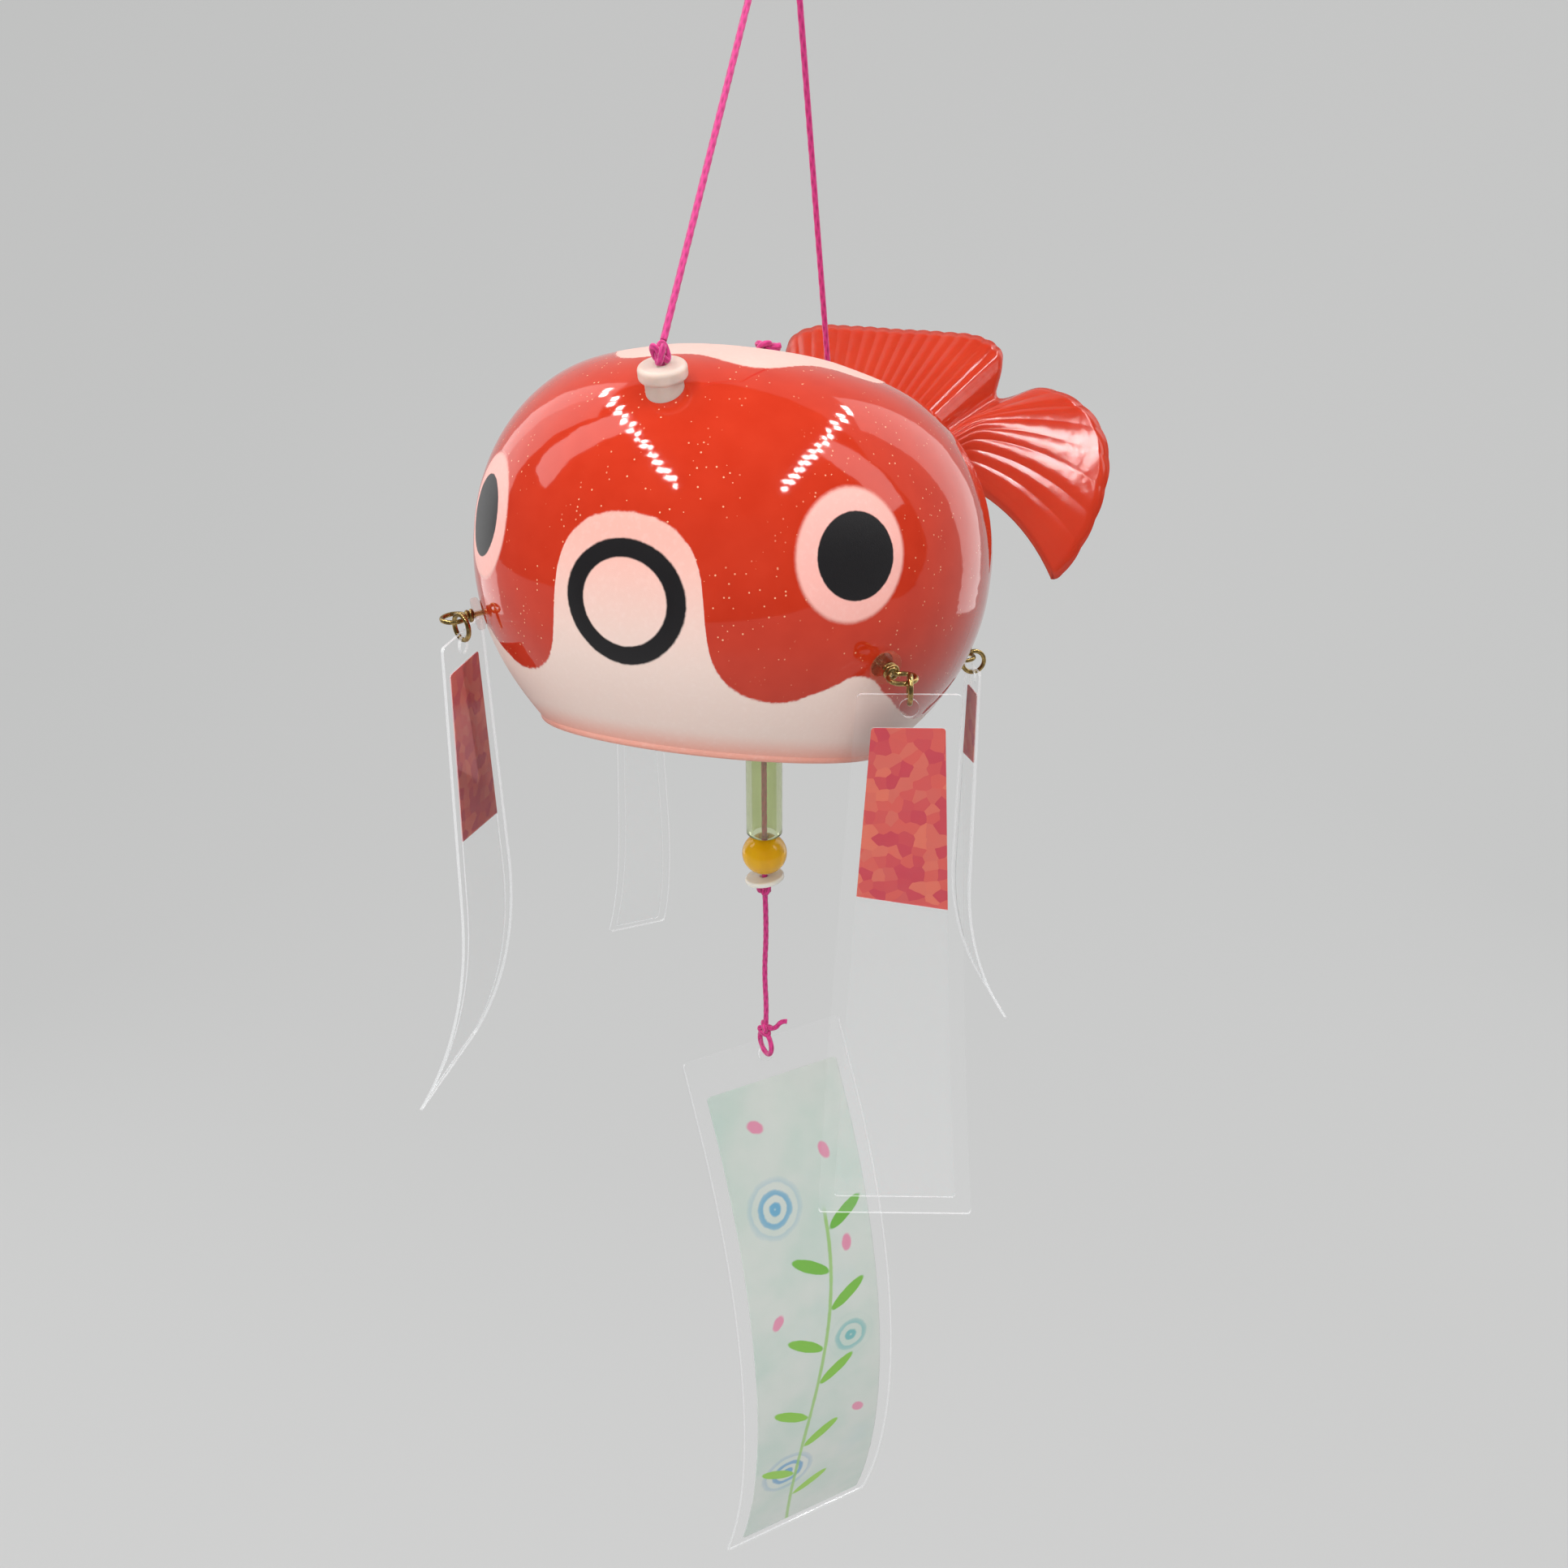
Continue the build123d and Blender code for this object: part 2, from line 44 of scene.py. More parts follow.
from math import acos, atan2, copysign, cos, hypot, pi, radians, sin, sqrt
from mathutils import Matrix, Vector

MM = 0.001
UP = Vector((0, 0, 1))

# Sizes shared with the solids, in millimetres and degrees
BELL_AT = Vector((0, -25.0, -95.9))
BELL_TILT = radians(18.5)
BELL_R = 43.0
TAIL_STRETCH = 1.3
CROWN = 31.7
CROWN_POWER = 1.95
CROWN_SPREAD = 3.1
SKIRT = 30.8
SKIRT_POWER = 2.32
RIM_R = 29.6
CORD_R = 0.55
ROD_R = 3.5
KNOT_R = 1.65
REAR_KNOT = Vector((0, 27.033, -83.553))
PLUG_HOLES = {"front": -34.5, "clapper": 6.0, "rear": 43.5}
INNER_KNOT_DOWN = 7.44
TOP_KNOT_UP = 2.45
CARD_YAW = 138.5
CARD_LOOP_R = 2.5
HOOK_Z = -14.6
GROMMET_FLANGE = 1.3
SHANK_INSIDE = 4.6
EYE_R = 1.9

# Hooks: where each stands, how its wire is bent and wound, and where its fin's print ends
HOOKS = {
    "front_right": {
        "azimuth": 57.3, "yaw": -71.0, "stem": 1.9, "eye_width": 1.14,
        "coil_r": 0.95, "coil_turns": 2.2, "slant": 0.16, "print": 33.5,
    },
    "front_left": {
        "azimuth": -54.5, "yaw": 187.0, "stem": 1.7, "eye_width": 1.0,
        "coil_r": 0.72, "coil_turns": 1.6, "slant": -0.12, "print": 33.5,
    },
    "rear_right": {
        "azimuth": 134.0, "yaw": 32.0, "stem": 1.9, "eye_width": 1.0,
        "coil_r": 0.95, "coil_turns": 2.2, "slant": 0.1, "print": 17.0,
    },
    "rear_left": {
        "azimuth": -134.0, "yaw": 132.5, "stem": 1.9, "eye_width": 1.0,
        "coil_r": 0.95, "coil_turns": 2.2, "slant": 0.1, "print": 17.0,
    },
}

# Places of the joints, from the frame
PLACES = {joint["name"]: Vector(joint["pos_m"]) / MM for joint in frame["record"]["behaviour"]["joints"]}
FRONT_KNOT = PLACES["bell_sway"]
PLUMB = PLACES["clapper_sway"]
STOP_KNOT_Z = PLACES["pull_swing"].z
CARD_KNOT_Z = PLACES["card_turn"].z
CARD_HINGE_Z = PLACES["card_rock"].z


# Form of the bell, in its own tilted frame
def in_bell(x, y, z):
    """A point of the bell's own frame, in the part's frame."""
    ahead = y * cos(BELL_TILT) + z * sin(BELL_TILT)
    above = z * cos(BELL_TILT) - y * sin(BELL_TILT)
    return Vector((x, ahead, above)) + BELL_AT


def to_bell(point):
    """A point of the part's frame, in the bell's own frame."""
    x, y, z = point - BELL_AT
    return Vector((x, y * cos(BELL_TILT) - z * sin(BELL_TILT), z * cos(BELL_TILT) + y * sin(BELL_TILT)))


def crown_height(y):
    """Height of the crown on its middle line."""
    reach = BELL_R if y < 0 else BELL_R * TAIL_STRETCH
    return CROWN * (1 - (abs(y) / reach) ** CROWN_SPREAD) ** (1 / CROWN_POWER)


def skirt_r(z):
    """Radius of the skirt at a height below the widest circle."""
    return BELL_R - (BELL_R - RIM_R) * (-z / SKIRT) ** SKIRT_POWER


def outside_bell(point):
    """How far a point lies outside the glass, negative inside it."""
    x, y, z = to_bell(point)
    if z >= 0:
        radius = BELL_R * max(1 - (z / CROWN) ** CROWN_POWER, 0.0) ** (1 / CROWN_SPREAD)
    else:
        radius = skirt_r(max(z, -SKIRT))
    return hypot(x, y / TAIL_STRETCH if y > 0 else y) - radius


def level_way(yaw):
    """A level direction at an angle from X."""
    return Vector((cos(radians(yaw)), sin(radians(yaw)), 0))


# Camera
camera = bpy.data.objects.new("camera", bpy.data.cameras.new("camera"))
bpy.context.scene.collection.objects.link(camera)
camera.location = (0.09558, -0.26238, -0.01449)
camera.rotation_euler = (radians(63.8), 0, radians(20))
camera.data.sensor_width = 36
camera.data.lens = 36.06
camera.data.clip_start = 0.01
bpy.context.scene.camera = camera
bpy.context.scene.view_settings.view_transform = "Standard"


# Ways to write materials
class Nodes:
    """A tree of nodes, with short ways to add to it."""

    def __init__(self, tree):
        self.tree = tree

    def feed(self, socket, value):
        """Link another socket to this one, or give it a plain value."""
        if isinstance(value, bpy.types.NodeSocket):
            self.tree.links.new(value, socket)
        else:
            socket.default_value = value

    def node(self, kind, settings=None, **sockets):
        """A new node with its settings and inputs; an underscore stands for a space."""
        made = self.tree.nodes.new(kind)
        for key, value in (settings or {}).items():
            setattr(made, key, value)
        for key, value in sockets.items():
            self.feed(made.inputs[key.replace("_", " ")], value)
        return made

    def use(self, shared, **sockets):
        """A shared group placed here with its own values."""
        return self.node("ShaderNodeGroup", {"node_tree": shared.tree}, **sockets).outputs

    def math(self, operation, a, b=0.0, clamp=False):
        made = self.node("ShaderNodeMath", {"operation": operation, "use_clamp": clamp})
        self.feed(made.inputs[0], a)
        self.feed(made.inputs[1], b)
        return made.outputs[0]

    def vector(self, operation, *values):
        """Outputs of a vector sum, product or other operation."""
        made = self.node("ShaderNodeVectorMath", {"operation": operation})
        for socket, value in zip(made.inputs, values):
            self.feed(socket, value)
        return made.outputs

    def mix(self, share, a, b):
        """A colour between two others."""
        made = self.node("ShaderNodeMix", {"data_type": "RGBA"})
        self.feed(made.inputs[0], share)
        self.feed(made.inputs[6], a)
        self.feed(made.inputs[7], b)
        return made.outputs[2]

    def step(self, value, low, high):
        """0 below low, 1 above high, smooth between."""
        made = self.node("ShaderNodeMapRange", {"interpolation_type": "SMOOTHSTEP"})
        self.feed(made.inputs[0], value)
        self.feed(made.inputs[1], low)
        self.feed(made.inputs[2], high)
        return made.outputs[0]

    def below(self, value, edge, soft):
        """1 below an edge, 0 above it."""
        return self.math("SUBTRACT", 1.0, self.step(value, edge - soft, edge + soft))

    def length(self, a, b):
        return self.math("SQRT", self.math("ADD", self.math("MULTIPLY", a, a), self.math("MULTIPLY", b, b)))

    def split(self, vector):
        return self.node("ShaderNodeSeparateXYZ", Vector=vector).outputs

    def noise(self, vector, scale, detail=2.0, roughness=0.5):
        made = self.node("ShaderNodeTexNoise", Vector=vector, Scale=scale, Detail=detail, Roughness=roughness)
        return made.outputs[0]

    def curve(self, value, points):
        """A smooth curve through a few points, each from 0 to 1."""
        made = self.node("ShaderNodeFloatCurve", Value=value)
        line = made.mapping.curves[0]
        line.points[0].location = points[0]
        line.points[1].location = points[-1]
        for point in points[1:-1]:
            line.points.new(*point)
        made.mapping.update()
        return made.outputs[0]


class SharedNodes(Nodes):
    """A group of nodes that several finishes use, with named inputs and outputs."""

    def __init__(self, name, inputs, outputs):
        super().__init__(bpy.data.node_groups.new(name, "ShaderNodeTree"))
        for way, sockets in (("INPUT", inputs), ("OUTPUT", outputs)):
            for label, kind in sockets.items():
                self.tree.interface.new_socket(label, in_out=way, socket_type=f"NodeSocket{kind}")
        self.given = self.node("NodeGroupInput").outputs
        self.result = self.node("NodeGroupOutput").inputs


class Finish(Nodes):
    """A material with one Principled surface."""

    def __init__(self, name, **sockets):
        self.material = bpy.data.materials.new(name)
        self.material.use_nodes = True
        super().__init__(self.material.node_tree)
        self.tree.nodes.clear()
        self.surface = self.node("ShaderNodeBsdfPrincipled", **sockets)
        self.node("ShaderNodeOutputMaterial", Surface=self.surface.outputs[0])

    def set(self, **sockets):
        for key, value in sockets.items():
            self.feed(self.surface.inputs[key.replace("_", " ")], value)

    def coords(self, location=(0, 0, 0), rotation=(0, 0, 0), scale=1 / MM):
        """Object coordinates turned into a local frame, in millimetres unless scaled otherwise."""
        where = self.node("ShaderNodeTexCoord").outputs["Object"]
        placed = {"Scale": (scale,) * 3, "Rotation": rotation, "Location": location}
        return self.node("ShaderNodeMapping", Vector=where, **placed).outputs[0]

    def bump(self, height, strength, distance):
        made = self.node("ShaderNodeBump", Strength=strength, Distance=distance, Height=height)
        self.set(Normal=made.outputs[0])


# Groups of nodes that several finishes share
def cloudy_tint():
    """A colour that drifts between two others."""
    g = SharedNodes(
        "cloudy_tint",
        {"Vector": "Vector", "Scale": "Float", "Detail": "Float", "Low": "Color", "High": "Color"},
        {"Color": "Color"},
    )
    cloud = g.noise(g.given["Vector"], g.given["Scale"], g.given["Detail"])
    g.feed(g.result["Color"], g.mix(cloud, g.given["Low"], g.given["High"]))
    return g


def handmade_surface():
    """Uneven polish and slight dents."""
    g = SharedNodes(
        "handmade_surface",
        {
            "Vector": "Vector", "Polish": "Float", "Spread": "Float", "Polish Scale": "Float",
            "Dent Scale": "Float", "Dent Detail": "Float",
        },
        {"Roughness": "Float", "Height": "Float"},
    )
    uneven = g.math("MULTIPLY", g.noise(g.given["Vector"], g.given["Polish Scale"]), g.given["Spread"])
    g.feed(g.result["Roughness"], g.math("ADD", g.given["Polish"], uneven))
    g.feed(g.result["Height"], g.noise(g.given["Vector"], g.given["Dent Scale"], g.given["Dent Detail"]))
    return g


def cut_edge():
    """1 on a film's cut edges, 0 on its faces."""
    g = SharedNodes("cut_edge", {"Normal": "Vector", "Across": "Vector"}, {"Mask": "Float"})
    side = g.math("ABSOLUTE", g.vector("DOT_PRODUCT", g.given["Normal"], g.given["Across"])["Value"])
    end = g.math("SUBTRACT", g.math("ABSOLUTE", g.split(g.given["Normal"])[2]), 0.3)
    g.feed(g.result["Mask"], g.step(g.math("MAXIMUM", side, end), 0.5, 0.6))
    return g


def sheet_flat():
    """Millimetres across a hanging sheet and down from its top."""
    g = SharedNodes(
        "sheet_flat",
        {"Vector": "Vector", "Way": "Vector", "Middle": "Float", "Top": "Float"},
        {"Across": "Float", "Down": "Float", "Flat": "Vector"},
    )
    along = g.vector("DOT_PRODUCT", g.given["Vector"], g.given["Way"])["Value"]
    across = g.math("SUBTRACT", along, g.given["Middle"])
    down = g.math("SUBTRACT", g.given["Top"], g.split(g.given["Vector"])[2])
    g.feed(g.result["Across"], across)
    g.feed(g.result["Down"], down)
    g.feed(g.result["Flat"], g.node("ShaderNodeCombineXYZ", X=across, Y=down).outputs[0])
    return g


def scale_mosaic():
    """Pink and orange scales with uneven outlines."""
    g = SharedNodes("scale_mosaic", {"Flat": "Vector"}, {"Color": "Color"})
    flat = g.given["Flat"]
    bend = g.node("ShaderNodeTexNoise", Vector=flat, Scale=0.45, Detail=1.0).outputs["Color"]
    shifted = g.vector("MULTIPLY_ADD", bend, (0.8, 0.8, 0), flat)[0]
    plane = {"voronoi_dimensions": "2D"}
    scale = g.node("ShaderNodeTexVoronoi", plane, Vector=shifted, Scale=0.5, Randomness=0.75)
    tint = g.node("ShaderNodeSeparateColor", Color=scale.outputs["Color"]).outputs
    color = g.mix(g.step(tint[0], 0.2, 0.8), (0.49, 0.045, 0.075, 1), (0.60, 0.105, 0.085, 1))
    color = g.mix(g.math("MULTIPLY", g.step(tint[1], 0.6, 0.7), 0.5), color, (0.70, 0.23, 0.13, 1))
    color = g.mix(g.math("MULTIPLY", g.noise(flat, 0.15), 0.3), color, (0.62, 0.12, 0.11, 1))
    g.feed(g.result["Color"], color)
    return g


CLOUDY_TINT = cloudy_tint()
HANDMADE_SURFACE = handmade_surface()
CUT_EDGE = cut_edge()
SHEET_FLAT = sheet_flat()
SCALE_MOSAIC = scale_mosaic()


# Finishes
def bell_finish():
    """Red cased glass with frosted areas, fine gold specks and a face in black paint."""
    s = Finish("bell_glass", IOR=1.5)
    turned = Matrix.Rotation(BELL_TILT, 3, "X")
    vector = s.coords(location=-(turned @ BELL_AT), rotation=(BELL_TILT, 0, 0))
    wobble = s.noise(vector, 0.22)
    fine = s.noise(vector, 1.3, 3.0)
    ragged = s.math("SUBTRACT", fine, 0.5)
    edge_shift = s.math("MULTIPLY", ragged, 0.5)
    x, y, z = s.split(vector)
    side = s.math("ARCTAN2", x, s.math("MULTIPLY", y, -1.0))
    side = s.math("ABSOLUTE", s.math("MULTIPLY", side, BELL_R))

    def inside(distance, soft):
        """1 where a distance is under 1, with a slightly uneven edge."""
        return s.below(s.math("ADD", distance, s.math("MULTIPLY", edge_shift, 0.05)), 1.0, soft)

    def oval(along, height, wide, tall, soft):
        """1 inside an oval on both flanks, given by its middle and its half sizes."""
        across = s.math("DIVIDE", s.math("SUBTRACT", side, along), wide)
        up = s.math("DIVIDE", s.math("SUBTRACT", z, height), tall)
        return inside(s.length(across, up), soft)

    # Lower edge of the red, from the arch over the mouth round to the tail
    hem = [
        (0, 3.8), (4.4, 3.2), (8.5, 0.8), (10.9, -2.8), (12.2, -8), (13.2, -13.5), (15, -17.6),
        (18, -20.2), (22, -21.5), (26.5, -21.7), (31.8, -20.0), (35.5, -18.3), (39.3, -16.7),
        (46.7, -19.3), (56, -22.6), (66.8, -24.0), (82, -21.5), (97, -17.2), (108, -20.5),
        (120, -23.4), (135, -22.0),
    ]
    half_round = pi * BELL_R
    hem_low = -32.0
    hem_span = 40.0
    points = [(along / half_round, (height - hem_low) / hem_span) for along, height in hem]
    hem_line = s.curve(s.math("DIVIDE", side, half_round), points)
    hem_line = s.math("ADD", s.math("MULTIPLY", hem_line, hem_span), hem_low)
    hem_line = s.math("ADD", hem_line, edge_shift)
    belly = s.below(s.math("SUBTRACT", z, hem_line), 0.0, 0.25)

    # Frosted patch on the crown, with a scalloped edge
    behind = s.math("SUBTRACT", y, 4.0)
    turn = s.math("ARCTAN2", x, s.math("MULTIPLY", behind, -1.0))
    scallop = s.math("MULTIPLY", s.math("COSINE", s.math("MULTIPLY", turn, 9.0)), 0.06)
    crown_oval = s.length(s.math("DIVIDE", x, 25.5), s.math("DIVIDE", behind, 31.0))
    above = s.step(z, 10.0, 12.0)
    crown = s.math("MULTIPLY", inside(s.math("ADD", crown_oval, scallop), 0.012), above)

    # Eyes and mouth
    eye_ring = oval(33.6, 1.1, 8.9, 9.8, 0.05)
    pupil = oval(34.3, 1.05, 6.35, 6.5, 0.02)
    mouth_out = oval(0.0, -9.15, 9.75, 9.2, 0.02)
    mouth_in = oval(0.0, -9.15, 6.8, 6.45, 0.025)
    black = s.math("MAXIMUM", pupil, s.math("SUBTRACT", mouth_out, mouth_in, clamp=True))
    frosted = s.math("MAXIMUM", s.math("MAXIMUM", belly, crown), eye_ring)

    # Red glass: slow changes of depth and fine gold specks
    red = s.mix(wobble, (0.44, 0.022, 0.005, 1), (0.52, 0.036, 0.012, 1))
    gold_speck_cells = s.node("ShaderNodeTexVoronoi", Vector=vector, Scale=1.5)
    pick = s.node("ShaderNodeSeparateColor", Color=gold_speck_cells.outputs["Color"]).outputs[0]
    speck = s.math("LESS_THAN", gold_speck_cells.outputs["Distance"], 0.2)
    speck = s.math("MULTIPLY", speck, s.math("GREATER_THAN", pick, 0.78))
    cloud = s.step(s.noise(vector, 0.09, 1.0), 0.38, 0.6)
    speck = s.math("MULTIPLY", s.math("MULTIPLY", speck, cloud), 0.75)
    red = s.mix(speck, red, (0.86, 0.52, 0.30, 1))

    # Frosted glass: white below, pinker by the rim and in the eye rings, and pinker upwards round the mouth,
    # where the pink is painted red light scattered from the red body
    pale = s.mix(s.step(z, -31.8, -27.0), (0.78, 0.34, 0.26, 1), (0.78, 0.61, 0.54, 1))
    # Painted red light: the frosted glass grows pinker upwards, towards the red, as if lit through the red
    # body
    pale = s.mix(s.math("MULTIPLY", s.step(z, -20.0, 4.0), 0.8), pale, (0.74, 0.31, 0.25, 1))
    pale = s.mix(s.math("MULTIPLY", eye_ring, 0.9), pale, (0.82, 0.40, 0.35, 1))
    pale = s.mix(s.math("MULTIPLY", crown, above), pale, (0.74, 0.46, 0.40, 1))
    pale = s.mix(s.math("MULTIPLY", ragged, 0.35), pale, (0.95, 0.85, 0.82, 1))
    color = s.mix(black, s.mix(frosted, red, pale), (0.006, 0.005, 0.006, 1))

    matte = s.math("MAXIMUM", frosted, black)
    rough = s.math("ADD", s.math("MULTIPLY", matte, 0.42), s.math("MULTIPLY", fine, 0.03))
    s.set(Base_Color=color, Roughness=s.math("ADD", rough, 0.045))
    s.set(Subsurface_Weight=0.04, Subsurface_Radius=(1.0, 0.35, 0.25), Subsurface_Scale=0.003)
    grain = s.math("MULTIPLY", s.noise(vector, 6.0), s.math("MULTIPLY", matte, 0.6))
    dents = s.math("ADD", grain, s.math("MULTIPLY", wobble, 0.5))
    s.bump(s.math("ADD", dents, s.math("MULTIPLY", frosted, -0.35)), 0.12, 0.0003)
    return s.material


def tail_finish():
    """Red glass that lets a little light through."""
    s = Finish("tail_glass", IOR=1.5, Roughness=0.13, Transmission_Weight=0.15)
    vector = s.coords()
    low, high = (0.47, 0.026, 0.007, 1), (0.55, 0.045, 0.016, 1)
    tint = s.use(CLOUDY_TINT, Vector=vector, Scale=0.08, Detail=2.0, Low=low, High=high)
    s.set(Base_Color=tint["Color"])
    s.set(Subsurface_Weight=0.3, Subsurface_Radius=(1.0, 0.3, 0.2), Subsurface_Scale=0.004)
    s.bump(s.noise(vector, 0.35), 0.08, 0.0006)
    return s.material


def soft_finish(name, low, high, polish, scatter=0.4, alpha=1.0):
    """Milky silicone or soft plastic."""
    s = Finish(name, IOR=1.43, Alpha=alpha)
    s.set(Subsurface_Weight=scatter, Subsurface_Radius=(1.0, 0.8, 0.6), Subsurface_Scale=0.002)
    vector = s.coords()
    tint = s.use(CLOUDY_TINT, Vector=vector, Scale=0.5, Detail=3.0, Low=low, High=high)
    skin = s.use(
        HANDMADE_SURFACE,
        Vector=vector,
        Polish=polish,
        Spread=0.12,
        Polish_Scale=3.0,
        Dent_Scale=2.2,
        Dent_Detail=3.0,
    )
    s.set(Base_Color=tint["Color"], Roughness=skin["Roughness"])
    s.bump(skin["Height"], 0.12, 0.0003)
    return s.material


def clear_glass_finish(name, low, high, polish, clear):
    """Tinted see-through glass of the tube and the bead."""
    s = Finish(name, IOR=1.46, Transmission_Weight=clear)
    vector = s.coords()
    tint = s.use(CLOUDY_TINT, Vector=vector, Scale=0.25, Detail=2.0, Low=low, High=high)
    skin = s.use(
        HANDMADE_SURFACE,
        Vector=vector,
        Polish=polish,
        Spread=0.03,
        Polish_Scale=1.4,
        Dent_Scale=0.6,
        Dent_Detail=2.0,
    )
    s.set(Base_Color=tint["Color"], Roughness=skin["Roughness"])
    s.bump(skin["Height"], 0.06, 0.0004)
    return s.material


def brass_finish():
    """Brass wire with dark tarnish."""
    s = Finish("brass", Metallic=1.0, IOR=1.45)
    vector = s.coords()
    tarnish = s.step(s.noise(vector, 0.9, 4.0, 0.6), 0.35, 0.7)
    s.set(Base_Color=s.mix(tarnish, (0.52, 0.36, 0.13, 1), (0.20, 0.13, 0.055, 1)))
    s.set(Roughness=s.math("ADD", 0.22, s.math("MULTIPLY", tarnish, 0.25)))
    s.bump(s.noise(vector, 4.0, 3.0), 0.15, 0.0002)
    return s.material


def cord_finish():
    """Braided thread, with painted shade: dark in the grooves between its strands and light on their crowns.
    """
    s = Finish("cord", Sheen_Weight=0.35, Sheen_Roughness=0.4, IOR=1.45, Roughness=0.62)
    crown = s.node("ShaderNodeAttribute", {"attribute_name": "crown"}).outputs["Fac"]
    fuzz = s.noise(s.coords(), 5.0, 4.0, 0.7)
    # Painted shade: dark in the grooves between strands, light on their crowns, with fuzz for the thread's
    # uneven colour
    groove_shade_and_fuzz = s.math("ADD", s.math("MULTIPLY", crown, 0.75), s.math("MULTIPLY", fuzz, 0.35))
    s.set(Base_Color=s.mix(groove_shade_and_fuzz, (0.22, 0.006, 0.060, 1), (0.66, 0.035, 0.230, 1)))
    s.bump(fuzz, 0.3, 0.0002)
    return s.material


FILM_ALPHA = 0.02  # how much of a clear face is seen


def film_finish(name, yaw):
    """Clear laminate: almost nothing on its faces, and a thin pale line along its cut edges, a painted
    highlight.
    """
    s = Finish(name, IOR=1.5, Roughness=0.08)
    low, high = (0.84, 0.85, 0.86, 1), (0.92, 0.93, 0.93, 1)
    tint = s.use(CLOUDY_TINT, Vector=s.coords(), Scale=0.05, Detail=2.0, Low=low, High=high)
    world_normal = s.node("ShaderNodeNewGeometry").outputs["True Normal"]
    to_object = {"vector_type": "NORMAL", "convert_from": "WORLD", "convert_to": "OBJECT"}
    normal = s.node("ShaderNodeVectorTransform", to_object, Vector=world_normal).outputs[0]
    edge = s.use(CUT_EDGE, Normal=normal, Across=level_way(yaw + 90))["Mask"]
    # Painted highlight: the cut edges are drawn more solid and pale, as where light catches them
    s.set(Base_Color=tint["Color"], Alpha=s.math("ADD", FILM_ALPHA, s.math("MULTIPLY", edge, 0.4)))
    return s.material


def fin_print_finish(name, hook):
    """Clear insert with a pink mosaic of scales at its top, cut off along a slant."""
    way = level_way(hook["yaw"] + 90)
    place = PLACES[f"{name}_ring_swing"]
    s = Finish(f"{name}_fin_print", IOR=1.5, Roughness=0.22)
    s.set(Subsurface_Weight=0.6, Subsurface_Radius=(1.0, 0.6, 0.6), Subsurface_Scale=0.0005)
    sheet = s.use(SHEET_FLAT, Vector=s.coords(), Way=way, Middle=place.dot(way), Top=place.z - 4.0)
    cut = s.math("ADD", s.math("MULTIPLY", sheet["Across"], hook["slant"]), hook["print"])
    patch = s.below(s.math("SUBTRACT", sheet["Down"], cut), 0.0, 0.12)
    scales = s.use(SCALE_MOSAIC, Flat=sheet["Flat"])["Color"]
    s.set(Base_Color=s.mix(patch, (0.93, 0.94, 0.95, 1), scales))
    s.set(Alpha=s.math("ADD", s.math("MULTIPLY", patch, 0.93), FILM_ALPHA))
    return s.material


